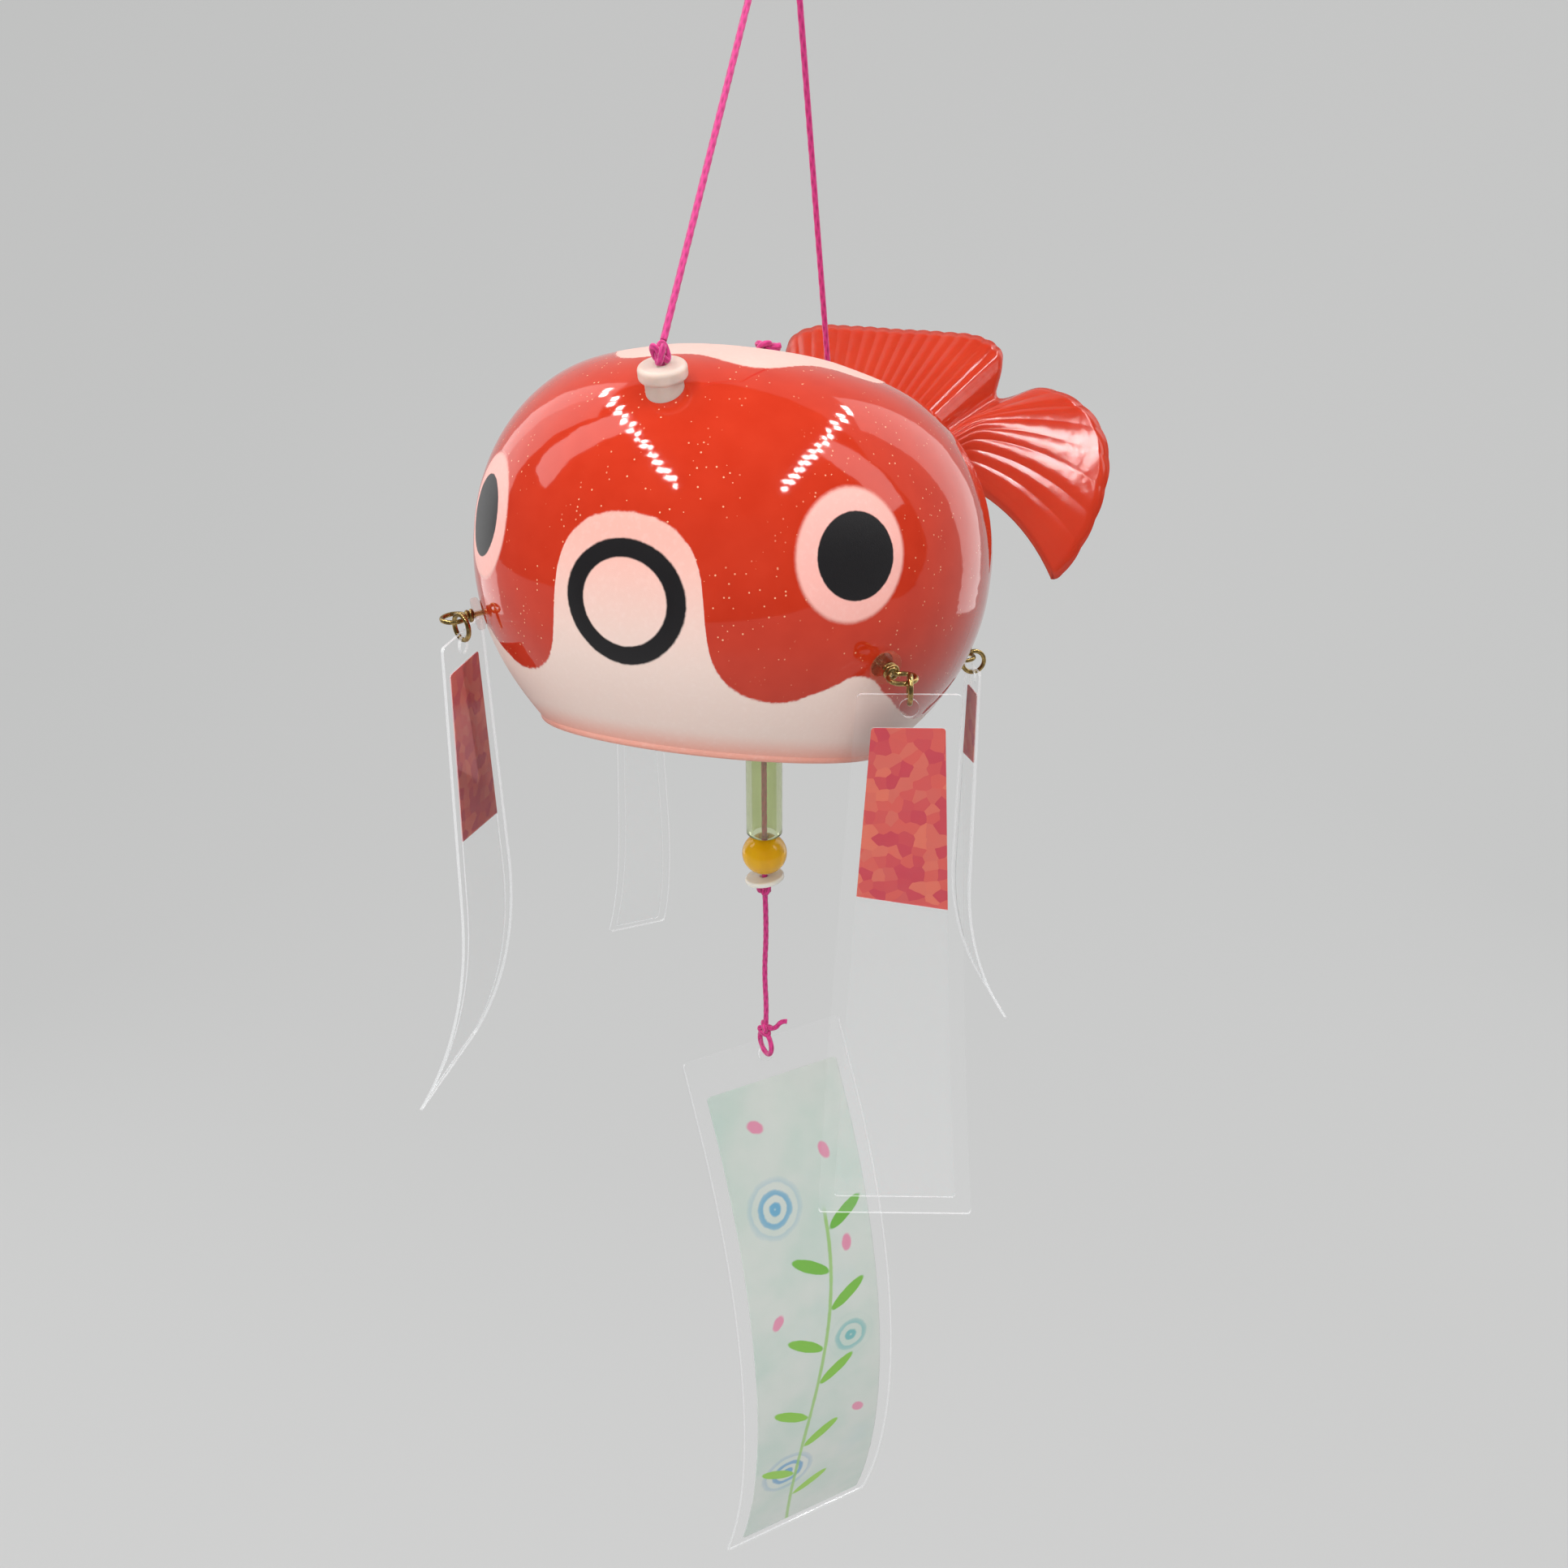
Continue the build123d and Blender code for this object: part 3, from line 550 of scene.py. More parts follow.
def card_print_finish():
    """Pale watercolour washes with ripple rings, a leafy reed and petals, in the card's own flat frame."""
    way = -level_way(CARD_YAW + 90)
    s = Finish("card_print", IOR=1.45, Roughness=0.35)
    s.set(Subsurface_Weight=0.5, Subsurface_Radius=(1.0, 1.0, 1.0), Subsurface_Scale=0.002)
    sheet = s.use(SHEET_FLAT, Vector=s.coords(), Way=way, Middle=PLUMB.dot(way), Top=CARD_HINGE_Z)
    across, down, flat = sheet["Across"], sheet["Down"], sheet["Flat"]
    blur = s.math("MULTIPLY", s.noise(flat, 0.4, 3.0), 0.9)

    def distance(along, below, stretch=1.0, angle=0.0):
        """Blurred distance from a place on the card, shortened along a slanted way."""
        dx = s.math("SUBTRACT", across, along)
        dy = s.math("SUBTRACT", down, below)
        a = s.math("ADD", s.math("MULTIPLY", dx, cos(angle)), s.math("MULTIPLY", dy, sin(angle)))
        b = s.math("SUBTRACT", s.math("MULTIPLY", dy, cos(angle)), s.math("MULTIPLY", dx, sin(angle)))
        return s.math("ADD", s.length(a, s.math("MULTIPLY", b, stretch)), blur)

    # Washes
    wash = s.step(s.noise(flat, 0.045, 3.0, 0.55), 0.35, 0.68)
    deep = s.step(s.noise(flat, 0.03, 4.0, 0.6), 0.52, 0.75)
    color = s.mix(wash, (0.53, 0.57, 0.52, 1), (0.42, 0.53, 0.46, 1))
    color = s.mix(s.math("MULTIPLY", deep, 0.4), color, (0.33, 0.50, 0.52, 1))

    # Ripple rings
    for along, below, size, tint in (
        (-6.0, 28.0, 8.0, (0.10, 0.30, 0.46, 1)),
        (8.0, 62.0, 6.5, (0.12, 0.36, 0.36, 1)),
        (-7.0, 97.0, 8.5, (0.09, 0.25, 0.44, 1)),
    ):
        away = distance(along, below)
        wave = s.math("ABSOLUTE", s.math("SINE", s.math("MULTIPLY", away, 1.25)))
        fade = s.math("SUBTRACT", 1.0, s.step(away, size * 0.3, size))
        color = s.mix(s.math("MULTIPLY", s.step(wave, 0.55, 0.95), fade), color, tint)

    # A bent reed up the card with leaves to both sides
    reed_bend = 5.0
    reed_wave = 0.045
    reed = s.math("MULTIPLY", s.math("SINE", s.math("MULTIPLY", down, reed_wave)), reed_bend)
    stem = s.math("ABSOLUTE", s.math("SUBTRACT", across, reed))
    stem = s.below(s.math("ADD", stem, s.math("MULTIPLY", blur, 0.3)), 0.55, 0.2)
    stem = s.math("MULTIPLY", stem, s.step(down, 30.0, 34.0))
    color = s.mix(s.math("MULTIPLY", stem, 0.8), color, (0.20, 0.42, 0.05, 1))
    for k in range(9):
        height = 36.0 + 9.0 * k
        side = (-1) ** k
        root = reed_bend * sin(reed_wave * height)
        leaf = s.below(distance(root + 4.6 * side, height - 2.6, 3.6, -0.55 * side), 5.25, 0.35)
        color = s.mix(leaf, color, (0.10 + 0.014 * k, 0.34 + 0.016 * k, 0.03, 1))

    # Petals that drift past it
    for along, below, angle in (
        (-6.5, 12.0, 0.4), (7.5, 20.0, 1.2), (-9.0, 52.0, 2.2), (10.0, 84.0, 0.8), (9.0, 40.0, 1.7),
    ):
        petal = s.below(distance(along, below, 1.6, angle), 2.25, 0.35)
        color = s.mix(petal, color, (0.62, 0.20, 0.30, 1))
    s.set(Base_Color=color)
    s.bump(s.noise(flat, 1.5, 3.0), 0.1, 0.0002)
    return s.material


MATERIALS = {
    "bell_glass": bell_finish(),
    "tail_glass": tail_finish(),
    "tube_glass": clear_glass_finish("tube_glass", (0.70, 0.77, 0.48, 1), (0.80, 0.85, 0.58, 1), 0.02, 0.92),
    "bead_glass": clear_glass_finish(
        "bead_glass", (0.88, 0.44, 0.004, 1), (0.94, 0.56, 0.015, 1), 0.03, 0.35
    ),
    "silicone": soft_finish("silicone", (0.70, 0.58, 0.50, 1), (0.80, 0.70, 0.62, 1), 0.3, alpha=0.68),
    # The grommet is clear silicone; its red tint is the red glass painted in, seen through it and reflected
    # in it
    "grommet": soft_finish("grommet", (0.50, 0.13, 0.06, 1), (0.62, 0.22, 0.12, 1), 0.25, 0.3, 0.15),
    "washer": soft_finish("washer", (0.76, 0.72, 0.62, 1), (0.84, 0.80, 0.72, 1), 0.4),
    "cord": cord_finish(),
    "brass": brass_finish(),
}

# Finishes of the pieces that keep their solids
slot_of = {entry["node"]: entry["material_slot"] for entry in frame["record"]["subparts"]}
for node, solid in frame["nodes"].items():
    slot = slot_of[node]
    hook_name = node.split("_fin_")[0]
    if slot == "fin_print":
        finish = fin_print_finish(hook_name, HOOKS[hook_name])
    elif slot == "card_print":
        finish = card_print_finish()
    elif slot == "film":
        finish = film_finish(node, HOOKS[hook_name]["yaw"] if hook_name in HOOKS else CARD_YAW)
    else:
        finish = MATERIALS[slot]
    for place in solid.material_slots:
        place.material = finish


# Ways to make pieces
def finished_object(name, shape, material):
    """An object in the scene from a finished shape, with its faces outwards and smooth."""
    bmesh.ops.recalc_face_normals(shape, faces=shape.faces)
    for face in shape.faces:
        face.smooth = True
    mesh = bpy.data.meshes.new(name)
    shape.to_mesh(mesh)
    shape.free()
    mesh.materials.append(material)
    made = bpy.data.objects.new(name, mesh)
    bpy.context.scene.collection.objects.link(made)
    return made


def add_piece(name, shape, body, slot, *nodes):
    """A piece that rides on a body, takes a slot and may stand for nodes."""
    piece = finished_object(name, shape, MATERIALS[slot])
    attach(piece, body)
    if nodes:
        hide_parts(*nodes)
    return piece


def drawn_out(shape, edges):
    """New vertices and edges, pulled out of a line of edges by an extrusion."""
    made = bmesh.ops.extrude_edge_only(shape, edges=edges)["geom"]
    verts = {part for part in made if isinstance(part, bmesh.types.BMVert)}
    pulled = [part for part in made if isinstance(part, bmesh.types.BMEdge) and verts.issuperset(part.verts)]
    return verts, pulled


def next_ring(shape, ring, edges):
    """The ring drawn out of another, with its vertices in the same order, and its edges."""
    verts, edges = drawn_out(shape, edges)
    ring = [next(e.other_vert(v) for e in v.link_edges if e.other_vert(v) in verts) for v in ring]
    return ring, edges


BRAID_STEP = 0.22


def smooth_line(points, resolution):
    """Points a steady distance apart along a NURBS line whose control points are these."""
    data = bpy.data.curves.new("route", "CURVE")
    data.dimensions = "3D"
    line = data.splines.new("NURBS")
    line.points.add(len(points) - 1)
    for spot, point in zip(line.points, points):
        spot.co = (*point, 1)
    line.order_u = 3
    line.use_endpoint_u = True
    line.resolution_u = resolution
    holder = bpy.data.objects.new("route", data)
    mesh = bpy.data.meshes.new_from_object(holder)
    result = [vertex.co.copy() for vertex in mesh.vertices]
    bpy.data.objects.remove(holder)
    bpy.data.curves.remove(data)
    bpy.data.meshes.remove(mesh)
    return evenly(result, BRAID_STEP)


def evenly(points, spacing):
    """The same line with its points a steady distance apart."""
    runs = [0.0]
    for a, b in zip(points, points[1:]):
        runs.append(runs[-1] + (b - a).length)
    steps = max(2, round(runs[-1] / spacing))
    result = []
    k = 0
    for i in range(steps + 1):
        want = runs[-1] * i / steps
        while k < len(runs) - 2 and runs[k + 1] < want:
            k += 1
        share = (want - runs[k]) / max(runs[k + 1] - runs[k], 1e-9)
        result.append(points[k].lerp(points[k + 1], share))
    return result


def tube(points, radius, sides=14, lay=3.0, relief=0.1, closed=False):
    """A ring drawn out along a line. Crossing strands stand out by the relief, kept as crown, which the
    cord's finish uses for its painted shade in the grooves.
    """
    shape = bmesh.new()
    crown = shape.verts.layers.float.new("crown")
    first = ring = bmesh.ops.create_circle(shape, segments=sides, radius=radius * MM)["verts"]
    first_edges = edges = list(shape.edges)
    normal = (points[1] - points[0]).normalized().orthogonal().normalized()
    run = 0.0
    for i, point in enumerate(points):
        if i:
            run += (point - points[i - 1]).length
            ring, edges = next_ring(shape, ring, edges)
        after = points[(i + 1) % len(points) if closed else min(i + 1, len(points) - 1)]
        before = points[i - 1 if closed else max(i - 1, 0)]
        ahead = (after - before).normalized()
        normal = (normal - ahead * normal.dot(ahead)).normalized()
        other = ahead.cross(normal)
        for j, vert in enumerate(ring):
            angle = 2 * pi * j / sides
            strands = [cos(4 * angle + way * 2 * pi * run / lay) for way in (1, -1)]
            high = max(strands)
            size = radius * (1 - relief + relief * high)
            vert.co = (point + normal * (size * cos(angle)) + other * (size * sin(angle))) * MM
            vert[crown] = 0.5 + 0.5 * high
    if closed:
        last = next_ring(shape, ring, edges)[0]
        bmesh.ops.weld_verts(shape, targetmap=dict(zip(last, first)))
    else:
        bmesh.ops.contextual_create(shape, geom=first_edges)
        bmesh.ops.contextual_create(shape, geom=edges)
    return shape


def cord_piece(name, line, body, *nodes, radius=CORD_R):
    return add_piece(name, tube(line, radius), body, "cord", *nodes)


KNOT_CORD_R = 0.5
KNOT_LAY = 2.2
KNOT_STEPS = 90
KNOT_END_R = 0.95 * CORD_R


def tied_knot(name, center, body, node, wide=KNOT_R, tall=KNOT_R, axis=UP, ends=(), turn=0.0):
    """An overhand knot drawn tight, with its ends given as lists of points from its middle."""
    turned = UP.rotation_difference(axis).to_matrix() @ Matrix.Rotation(turn, 3, "Z")
    flat = (wide - KNOT_CORD_R) / 3.0
    loop = []
    for k in range(KNOT_STEPS):
        t = 2 * pi * k / KNOT_STEPS
        spot = Vector((sin(t) + 2 * sin(2 * t), cos(t) - 2 * cos(2 * t), 0)) * flat
        spot.z = -sin(3 * t) * (tall - KNOT_CORD_R)
        loop.append(center + turned @ spot)
    shape = tube(loop, KNOT_CORD_R, sides=12, lay=KNOT_LAY, closed=True)
    pieces = [add_piece(name, shape, body, "cord", node)]
    for k, end in enumerate(ends):
        pieces.append(cord_piece(f"{name}_end_{k}", smooth_line(end, 12), body, radius=KNOT_END_R))
    return pieces


# Hanging cord: its legs are taut and its bight goes round the rod
BIGHT_R = ROD_R + CORD_R
BIGHT_CORNERS = 4
LEG_POINT = 7.0  # from the rod to the last point of each leg's straight run


def leg_angle(knot, side):
    """Angle at which a leg leaves the bight, on the front (-1) or the rear (+1) side."""
    return atan2(knot.z, knot.y) + side * acos(BIGHT_R / hypot(knot.y, knot.z))


def round_rod(angle, radius):
    return Vector((0, radius * cos(angle), radius * sin(angle)))


front_angle = leg_angle(FRONT_KNOT, -1) % (2 * pi)
rear_angle = leg_angle(REAR_KNOT, 1)
front_top = round_rod(front_angle, BIGHT_R)
rear_top = round_rod(rear_angle, BIGHT_R)
front_way = (FRONT_KNOT - front_top).normalized()
rear_way = (REAR_KNOT - rear_top).normalized()
corner_turn = (front_angle - rear_angle) / BIGHT_CORNERS
hang_route = [FRONT_KNOT - front_way * (KNOT_R + 0.3), front_top + front_way * LEG_POINT]
for k in range(BIGHT_CORNERS):
    hang_route.append(round_rod(front_angle - corner_turn * (k + 0.5), BIGHT_R / cos(corner_turn / 2)))
hang_route += [rear_top + rear_way * LEG_POINT, REAR_KNOT - rear_way * (KNOT_R + 0.3)]
hang_line = smooth_line(hang_route, 24)
hang_cord = cord_piece("hang_cord_braid", hang_line, "hang_cord", "hang_cord")

hang_knots = []
for name, knot_at in (("front", FRONT_KNOT), ("rear", REAR_KNOT)):
    hole = in_bell(0, PLUG_HOLES[name], crown_height(PLUG_HOLES[name]))
    axis = (knot_at - hole).normalized()
    inner_at = hole - axis * INNER_KNOT_DOWN
    above = [knot_at, knot_at - axis * 3.0, hole]
    below = [hole, hole - axis * 4.0, inner_at]
    hang_knots += tied_knot(
        f"{name}_knot_tied", knot_at, "bell", f"{name}_knot", axis=axis, ends=[above], turn=0.5
    )
    hang_knots += tied_knot(
        f"{name}_inner_knot_tied", inner_at, "bell", f"{name}_inner_knot", axis=axis, ends=[below], turn=1.2
    )

# Flat knot on the clapper's plug
bell_up = (in_bell(0, 0, 1) - in_bell(0, 0, 0)).normalized()
top_at = in_bell(0, PLUG_HOLES["clapper"], crown_height(PLUG_HOLES["clapper"]) + TOP_KNOT_UP)
top_ends = [
    [top_at, top_at + Vector((1.6, -0.6, 0.1)), top_at + Vector((2.4, 0.3, 0.3))],
    [top_at, top_at - bell_up * 2.5, top_at - bell_up * 7.0],
]
tied_knot(
    "clapper_top_knot_tied",
    top_at,
    "bell",
    "clapper_top_knot",
    wide=2.5,
    tall=0.95,
    axis=bell_up,
    ends=top_ends,
)


# Clapper's cord, in two runs, and the pull cord below it
def plumb_at(z, x=0.0, y=0.0):
    """A point at a height on the plumb line, or beside it."""
    return Vector((x, PLUMB.y + y, z))


upper_line = smooth_line([plumb_at(PLUMB.z - down) for down in (0.15, 4.0, 8.0)], 12)
cord_piece("clapper_cord_top", upper_line, "clapper_upper", "clapper_cord_upper")

clapper_route = [plumb_at(PLUMB.z - down) for down in (8.3, 40.0, 70.0)] + [plumb_at(STOP_KNOT_Z)]
clapper_line = smooth_line(clapper_route, 24)
clapper_cord = cord_piece("clapper_cord_braid", clapper_line, "clapper", "clapper_cord")
stop_knot = tied_knot("stop_knot_tied", plumb_at(STOP_KNOT_Z), "clapper", "stop_knot", tall=1.4, turn=0.9)

pull_route = [
    plumb_at(STOP_KNOT_Z),
    plumb_at(STOP_KNOT_Z - 9.0, 0.35),
    plumb_at(STOP_KNOT_Z - 20.0, -0.3, 0.2),
    plumb_at(CARD_KNOT_Z + 5.0, 0.25),
    plumb_at(CARD_KNOT_Z),
]
pull_line = smooth_line(pull_route, 24)
pull_cord = cord_piece("pull_cord_braid", pull_line, "pull", "pull_cord")

# Knot over the card, its free end, and the loop through the card's hole
card_way = level_way(CARD_YAW)
free_way = level_way(20)
card_knot_at = plumb_at(CARD_KNOT_Z)
free_end = [
    card_knot_at,
    card_knot_at + free_way * 1.8 - UP * 0.4,
    card_knot_at + free_way * 3.2 + UP * 1.9,
    card_knot_at + free_way * 4.4 + UP * 1.7,
]
card_knot = tied_knot(
    "tanzaku_knot_tied", card_knot_at, "card_loop", "tanzaku_knot", axis=card_way, ends=[free_end], turn=0.4
)
loop_at = plumb_at(CARD_HINGE_Z + CARD_LOOP_R)
loop_steps = 72
loop_line = []
for k in range(loop_steps):
    turn = 2 * pi * k / loop_steps
    loop_line.append(loop_at + (card_way * sin(turn) + UP * cos(turn)) * CARD_LOOP_R)
card_loop = add_piece("tanzaku_loop", tube(loop_line, CORD_R, closed=True), "card_loop", "cord")

# Tail: a fan of ribbed glass, thick at its root, with a rounded lip; angles are in degrees from its top
TAIL_LOBES = [
    (0.0, 54.3), (10.0, 55.2), (19.5, 56.9), (25.5, 55.5), (31.0, 47.5), (37.0, 54.5),
    (43.5, 58.0), (51.0, 59.3), (58.5, 58.1), (65.5, 55.0), (75.5, 49.6), (85.5, 44.1),
]
TAIL_END = TAIL_LOBES[-1][0]
TAIL_FOLD = 31.0
TAIL_DROOP = 1.9
TAIL_GATHER = 0.25
GATHER_SOFT = 0.004
TAIL_ROOT = 8.5
TAIL_LENGTH = 26.0
TAIL_LEAN = radians(15.0)
TAIL_WALL_ROOT = 5.5
TAIL_WALL_LIP = 2.8
TAIL_SUNK = 1.0  # how deep the root goes into the glass wall
TAIL_STEPS = 640
TAIL_ROWS = 30
LIP_ROWS = 6
LIP_BULGE = 0.8
SIDE_THINNING = 3.0  # degrees over which a side edge grows thin
SIDE_EDGE = 0.35
TOP_RIB = 3.1  # degrees from rib to rib
SIDE_RIB = 6.2
RIB_ROOT = 0.2
RIB_EDGE = 0.55
RIB_LIP = 0.25
RIB_INSIDE = 0.3
RIB_FADE = 0.85  # share of the length from which the ribs fade towards the lip
tail_at = in_bell(0, 46.0, 4.0)
tail_out = (in_bell(0, cos(TAIL_LEAN), -sin(TAIL_LEAN)) - in_bell(0, 0, 0)).normalized()
tail_side = Vector((-1, 0, 0))
tail_up = tail_out.cross(tail_side)


def tail_reach(angle):
    """Reach of the lobes at an angle, smooth between the given ones."""
    angle = min(abs(angle), TAIL_END)
    mirrored = [(-a, r) for a, r in reversed(TAIL_LOBES[1:3])]
    known = mirrored + TAIL_LOBES + [(95.5, 38.5), (105.5, 33.0)]
    k = max(i for i in range(1, len(known) - 2) if known[i][0] <= angle)
    (a0, r0), (a1, r1), (a2, r2), (a3, r3) = known[k - 1 : k + 3]
    t = (angle - a1) / (a2 - a1)
    slope_1 = (r2 - r0) / (a2 - a0) * (a2 - a1)
    slope_2 = (r3 - r1) / (a3 - a1) * (a2 - a1)
    start = (2 * t**3 - 3 * t**2 + 1) * r1 + (t**3 - 2 * t**2 + t) * slope_1
    return start + (3 * t**2 - 2 * t**3) * r2 + (t**3 - t**2) * slope_2


def tail_rib(angle):
    """1 on the crest of a rib and 0 in a groove: close ribs on the top lobe, wider ones on the side lobes."""
    beyond = max(abs(angle) - TAIL_FOLD, 0.0)
    return abs(cos(pi * ((abs(angle) - beyond) / TOP_RIB + beyond / SIDE_RIB)))


def lobe_angle(angle, share):
    """Angle of a point of the edge further in: the side lobes draw together towards their fold."""
    beyond = max(abs(angle) - TAIL_FOLD, 0.0)
    over = 1 - TAIL_DROOP * (1 - share) - TAIL_GATHER
    kept = TAIL_GATHER + sqrt(over**2 + GATHER_SOFT) / 2 + over / 2
    return copysign(abs(angle) - beyond * (1 - min(kept, 1.0)), angle)


def tail_point(angle, share, depth):
    """A point at a share of the tail's length, at a depth below its outer face."""
    radius = TAIL_ROOT + share * (tail_reach(angle) - TAIL_ROOT) - depth
    turn = radians(lobe_angle(angle, share))
    spread = tail_side * (radius * sin(turn)) + tail_up * (radius * cos(turn))
    return tail_at + spread + tail_out * (TAIL_LENGTH * share)


def tail_wall(share):
    return (1 - share) * TAIL_WALL_ROOT + share * TAIL_WALL_LIP


def tail_start(angle, inner):
    """Share of the length at which a face of the tail goes into the glass wall."""
    low, high = 0.0, 1.0
    for _ in range(24):
        middle = (low + high) / 2
        depth = tail_wall(middle) if inner else 0.0
        if outside_bell(tail_point(angle, middle, depth)) < -TAIL_SUNK:
            low = middle
        else:
            high = middle
    return low


def tail_section(angle):
    """Points round a section of the tail: along its outer face, over its lip and back inside."""
    edge = min(1.0, (TAIL_END - abs(angle)) / SIDE_THINNING)
    full = SIDE_EDGE + (1 - SIDE_EDGE) * sqrt(max(0.0, 1 - (1 - edge) ** 2))
    groove = 1 - tail_rib(angle)
    section = []
    start = tail_start(angle, False)
    for k in range(TAIL_ROWS + 1):
        share = start + (1 - start) * k / TAIL_ROWS
        relief = RIB_ROOT + (RIB_EDGE - RIB_ROOT) * share
        relief += (RIB_LIP - RIB_EDGE) * max(0.0, (share - RIB_FADE) / (1 - RIB_FADE))
        section.append(tail_point(angle, share, groove * relief + tail_wall(share) * (1 - full) / 2))
    half = TAIL_WALL_LIP / 2 * full
    for k in range(1, LIP_ROWS):
        turn = pi * k / LIP_ROWS
        depth = TAIL_WALL_LIP / 2 - half * cos(turn) + groove * RIB_LIP * (0.5 + 0.5 * cos(turn))
        out = half * sin(turn) * LIP_BULGE - groove * RIB_LIP * 0.25
        section.append(tail_point(angle, 1.0, depth) + tail_out * out)
    start = tail_start(angle, True)
    for k in range(TAIL_ROWS + 1):
        share = 1 - (1 - start) * k / TAIL_ROWS
        wall = tail_wall(share)
        section.append(tail_point(angle, share, wall * (1 + full) / 2 - RIB_INSIDE * (1 - groove) * share))
    return section


def tail_fan():
    """A grid bent into the tail's sections, closed along its root and at its two side edges."""
    sections = [tail_section(TAIL_END * (1 - 2 * i / TAIL_STEPS)) for i in range(TAIL_STEPS + 1)]
    last = len(sections[0]) - 1
    shape = bmesh.new()
    bmesh.ops.create_grid(shape, x_segments=TAIL_STEPS, y_segments=last, size=1.0)
    root = [edge for edge in shape.edges if all(abs(vert.co.y) > 0.999 for vert in edge.verts)]
    for vert in shape.verts:
        i = round((vert.co.x + 1) / 2 * TAIL_STEPS)
        k = round((vert.co.y + 1) / 2 * last)
        vert.co = sections[i][k] * MM
    bmesh.ops.bridge_loops(shape, edges=root)
    bmesh.ops.holes_fill(shape, edges=[edge for edge in shape.edges if edge.is_boundary], sides=0)
    return shape


add_piece("tail_fan", tail_fan(), "bell", "tail_glass", "tail_fin")

# Hooks: a wire bent into an eye, with its end wound round the stem
WIRE_R = 0.38
EYE_STEPS = 40
EYE_RISE = 0.25  # how far the end of the eye passes over its start
RISE_FROM = 26
COIL_STEPS = 60
COIL_GAP = 0.25
COIL_SPARE = 0.55
WIRE_STEP = 0.12


def bent_wire(name, hook):
    """Points along a hook's wire: up its shank, round the eye and back round the stem."""
    turn = radians(hook["azimuth"])
    stretch = TAIL_STRETCH if cos(turn) < 0 else 1.0
    radius = skirt_r(HOOK_Z)
    slope = SKIRT_POWER * (BELL_R - RIM_R) / SKIRT * (-HOOK_Z / SKIRT) ** (SKIRT_POWER - 1)
    foot = in_bell(radius * sin(turn), -stretch * radius * cos(turn), HOOK_Z)
    out = (in_bell(sin(turn), -cos(turn) / stretch, -slope) - BELL_AT).normalized()
    level = Vector((out.x, out.y, 0)).normalized()
    stem_end = foot + out * (GROMMET_FLANGE + hook["stem"])
    middle = stem_end + level * EYE_R
    side = UP.cross(level) * hook["eye_width"]
    if (PLACES[f"{name}_ring_swing"] - middle).dot(side) < 0:
        side = -side
    wire = [foot - out * SHANK_INSIDE, foot - out * 2.0, foot + out * 0.6, stem_end - out * 0.5]
    for k in range(1, EYE_STEPS - 1):
        bend = 2 * pi * k / EYE_STEPS
        rise = EYE_RISE * max(0.0, (k - RISE_FROM) / (EYE_STEPS - 2 - RISE_FROM))
        wire.append(middle + (side * sin(bend) - level * cos(bend)) * EYE_R + UP * rise)
    across = out.orthogonal().normalized()
    over = out.cross(across)
    for k in range(COIL_STEPS):
        share = k / (COIL_STEPS - 1)
        spin = 2 * pi * hook["coil_turns"] * share + pi * 0.3
        back = COIL_GAP + (hook["stem"] - COIL_SPARE) * share
        wire.append(stem_end - out * back + (across * cos(spin) + over * sin(spin)) * hook["coil_r"])
    return evenly(wire, WIRE_STEP)


for name, hook in HOOKS.items():
    wire_eye = tube(bent_wire(name, hook), WIRE_R, sides=12, relief=0.0)
    add_piece(f"{name}_wire_eye", wire_eye, "bell", "brass", f"{name}_screw_eye")

# Studio: a pale sweep of paper, which camera and reflections see brighter than it lights the bell
PAPER_GLOW = 0.47
SWEEP_WIDE = 8.0
SWEEP_FRONT = -3.0
SWEEP_BEND = 0.6
SWEEP_R = 1.2
SWEEP_FLOOR = -0.8
SWEEP_TOP = 3.5
paper = Finish("paper", Roughness=0.9, Base_Color=(0.16, 0.16, 0.16, 1))
paper_tint = paper.use(
    CLOUDY_TINT,
    Vector=paper.coords(scale=1.0),
    Scale=1.5,
    Detail=2.0,
    Low=(0.96, 0.97, 0.96, 1),
    High=(1, 1, 0.99, 1),
)
rays = paper.node("ShaderNodeLightPath").outputs
seen = paper.math("MAXIMUM", rays["Is Camera Ray"], rays["Is Glossy Ray"])
seen = paper.math("MAXIMUM", seen, rays["Is Transmission Ray"])
paper.set(Emission_Color=paper_tint["Color"], Emission_Strength=paper.math("MULTIPLY", seen, PAPER_GLOW))


def paper_sweep():
    """A line drawn back along the floor, spun up through a quarter turn and drawn up the wall."""
    shape = bmesh.new()
    front = [shape.verts.new((side * SWEEP_WIDE / 2, SWEEP_FRONT, SWEEP_FLOOR)) for side in (-1, 1)]
    verts, edges = drawn_out(shape, [shape.edges.new(front)])
    bmesh.ops.translate(shape, verts=list(verts), vec=(0, SWEEP_BEND - SWEEP_FRONT, 0))
    spun = bmesh.ops.spin(
        shape,
        geom=edges,
        cent=(0, SWEEP_BEND, SWEEP_FLOOR + SWEEP_R),
        axis=(1, 0, 0),
        angle=radians(90),
        steps=24,
    )
    edges = [part for part in spun["geom_last"] if isinstance(part, bmesh.types.BMEdge)]
    verts, edges = drawn_out(shape, edges)
    bmesh.ops.translate(shape, verts=list(verts), vec=(0, 0, SWEEP_TOP - SWEEP_FLOOR - SWEEP_R))
    return shape


finished_object("sweep", paper_sweep(), paper.material)


# Lights
def area_light(name, place, aim, wide, tall, energy):
    data = bpy.data.lights.new(name, "AREA")
    data.shape = "RECTANGLE"
    data.size = wide
    data.size_y = tall
    data.energy = energy
    lamp = bpy.data.objects.new(name, data)
    bpy.context.scene.collection.objects.link(lamp)
    lamp.location = place
    lamp.rotation_euler = (Vector(aim) - Vector(place)).to_track_quat("-Z", "Y").to_euler()
    return lamp


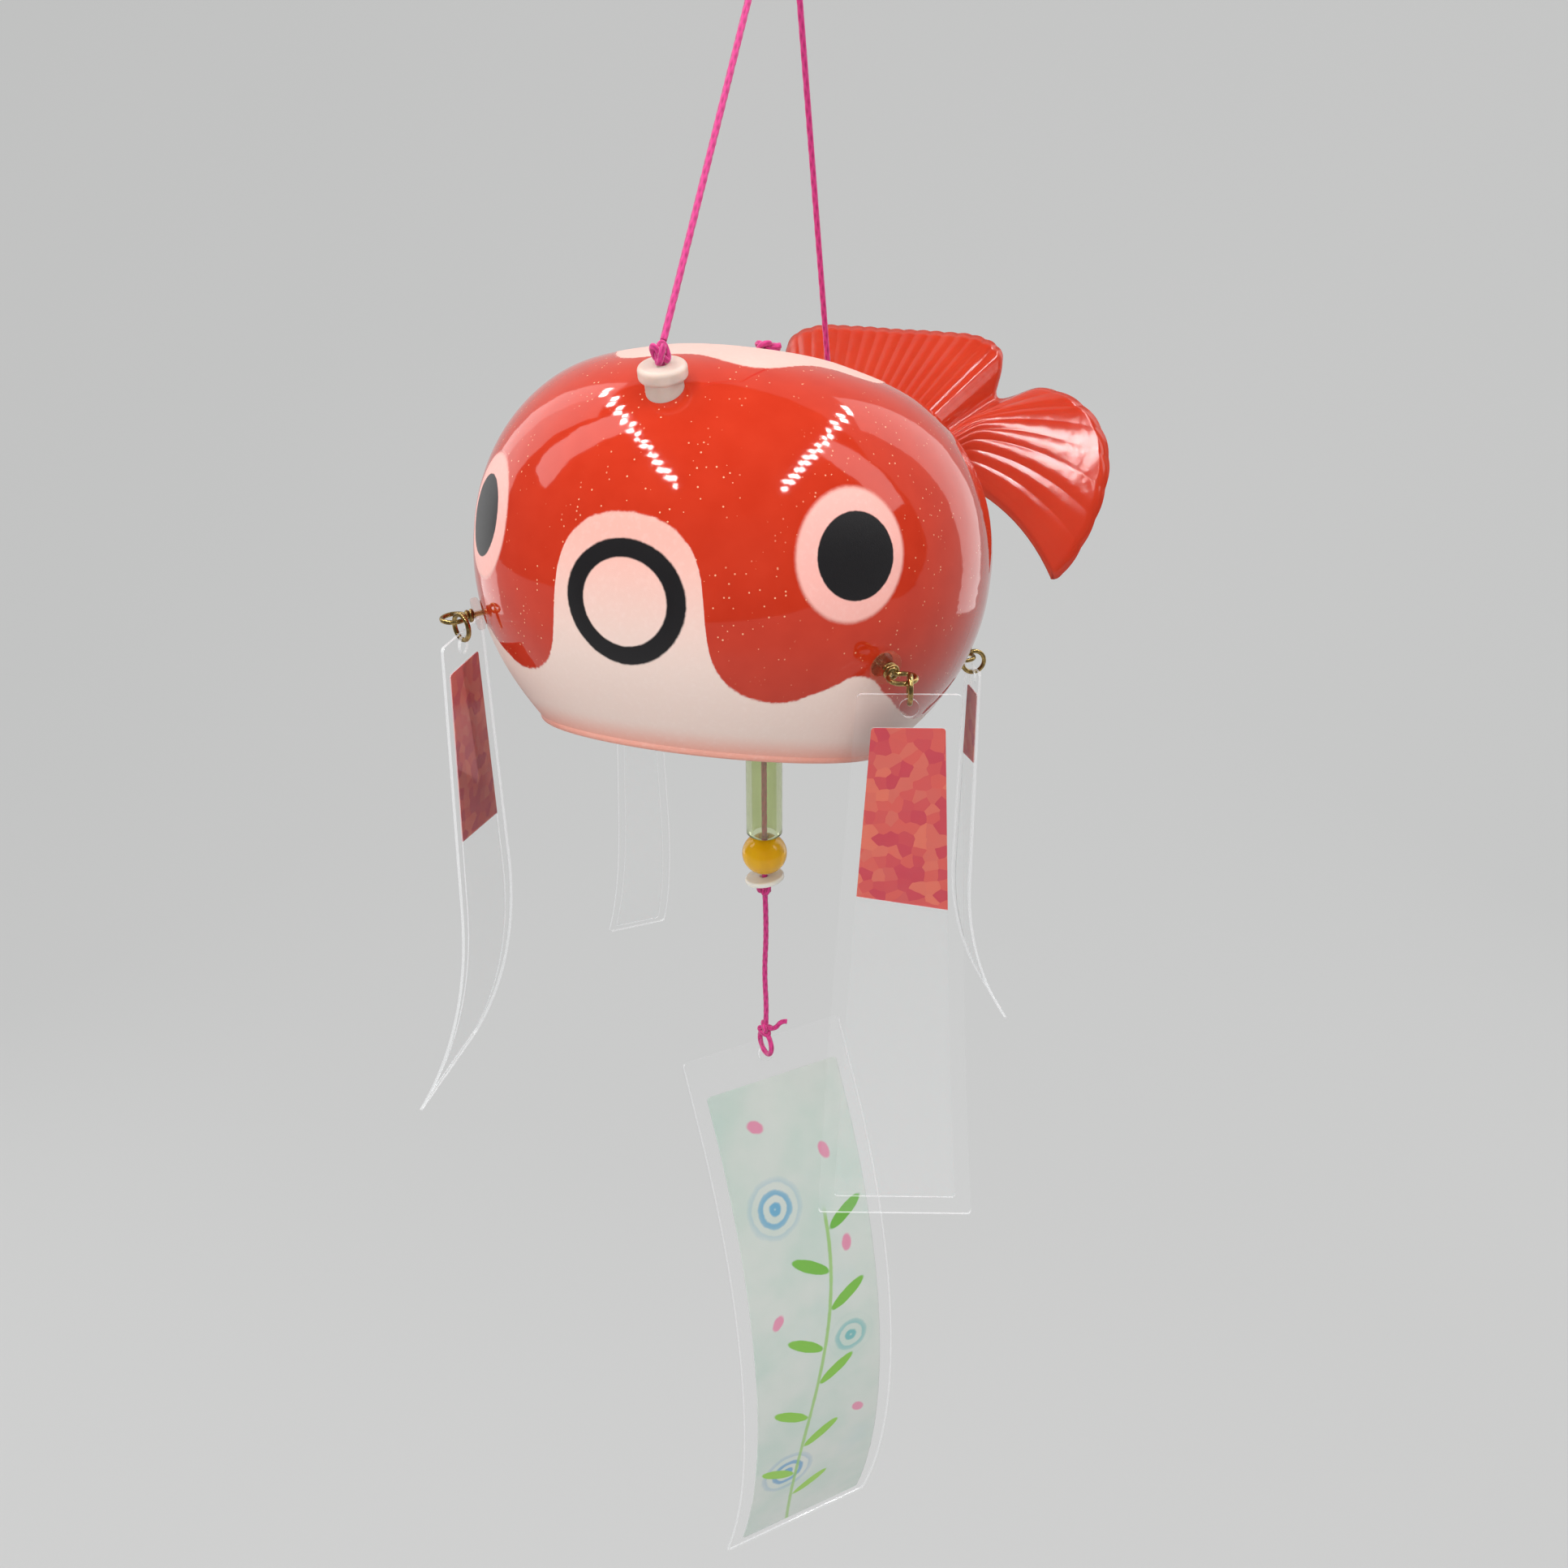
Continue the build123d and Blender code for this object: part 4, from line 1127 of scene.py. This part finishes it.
# Broad soft light, which leaves no reflection
for name, place, size, energy in (
    ("overhead", (0.0, -0.2, 1.1), 1.4, 7.0),
    ("front", (0.4, -1.3, 0.15), 1.2, 10.0),
    ("left", (-1.3, -0.5, 0.1), 1.0, 4.5),
    ("bounce", (0.1, -0.45, -0.75), 0.9, 2.4),
):
    area_light(name, place, (0, 0, -0.12), size, size, energy).visible_glossy = False

# Two bent rows of small lamps over the front, for the dotted glints on the glass
CROWN_AIM = (0, -0.05, -0.07)
LAMP_ROWS = {
    "left": ((-0.334, 0.144, 0.262), (-0.236, -0.263, 0.432), (-0.060, -0.394, 0.293)),
    "right": ((0.172, 0.285, 0.283), (0.354, -0.065, 0.410), (0.296, -0.260, 0.289)),
}
LAMPS = 24
LAMP_STAGGER = 0.014
for name, (start, middle, end) in LAMP_ROWS.items():
    for k in range(LAMPS):
        t = k / (LAMPS - 1)
        place = Vector(start) * (1 - t) ** 2 + Vector(middle) * (2 * t * (1 - t)) + Vector(end) * t**2
        place.z += LAMP_STAGGER * (-1) ** k
        area_light(f"lamp_{name}_{k}", place, CROWN_AIM, 0.02, 0.02, 0.05)

# A soft panel beside each row, and two tall ones behind for the streaks on the flanks
FLANK_AIM = (0, -0.02, -0.1)
area_light("panel_left", (-0.44, -0.10, 0.27), CROWN_AIM, 0.14, 0.40, 0.40)
area_light("panel_right", (0.44, 0.06, 0.27), CROWN_AIM, 0.14, 0.40, 0.40)
area_light("wall_left", (-0.85, 0.29, 0.1), FLANK_AIM, 0.42, 1.3, 2.0)
area_light("wall_right", (0.47, 0.77, 0.1), FLANK_AIM, 0.42, 1.3, 2.0)

# Even light from all round, dimmer where it is reflected
world = bpy.data.worlds.new("studio")
bpy.context.scene.world = world
world.use_nodes = True
studio = Nodes(world.node_tree)
rays = studio.node("ShaderNodeLightPath").outputs
level = studio.node("ShaderNodeMapRange", Value=rays["Is Glossy Ray"], To_Min=0.42, To_Max=0.12)
sky = world.node_tree.nodes["Background"]
sky.inputs["Color"].default_value = (0.97, 0.98, 1.0, 1)
studio.feed(sky.inputs["Strength"], level.outputs[0])
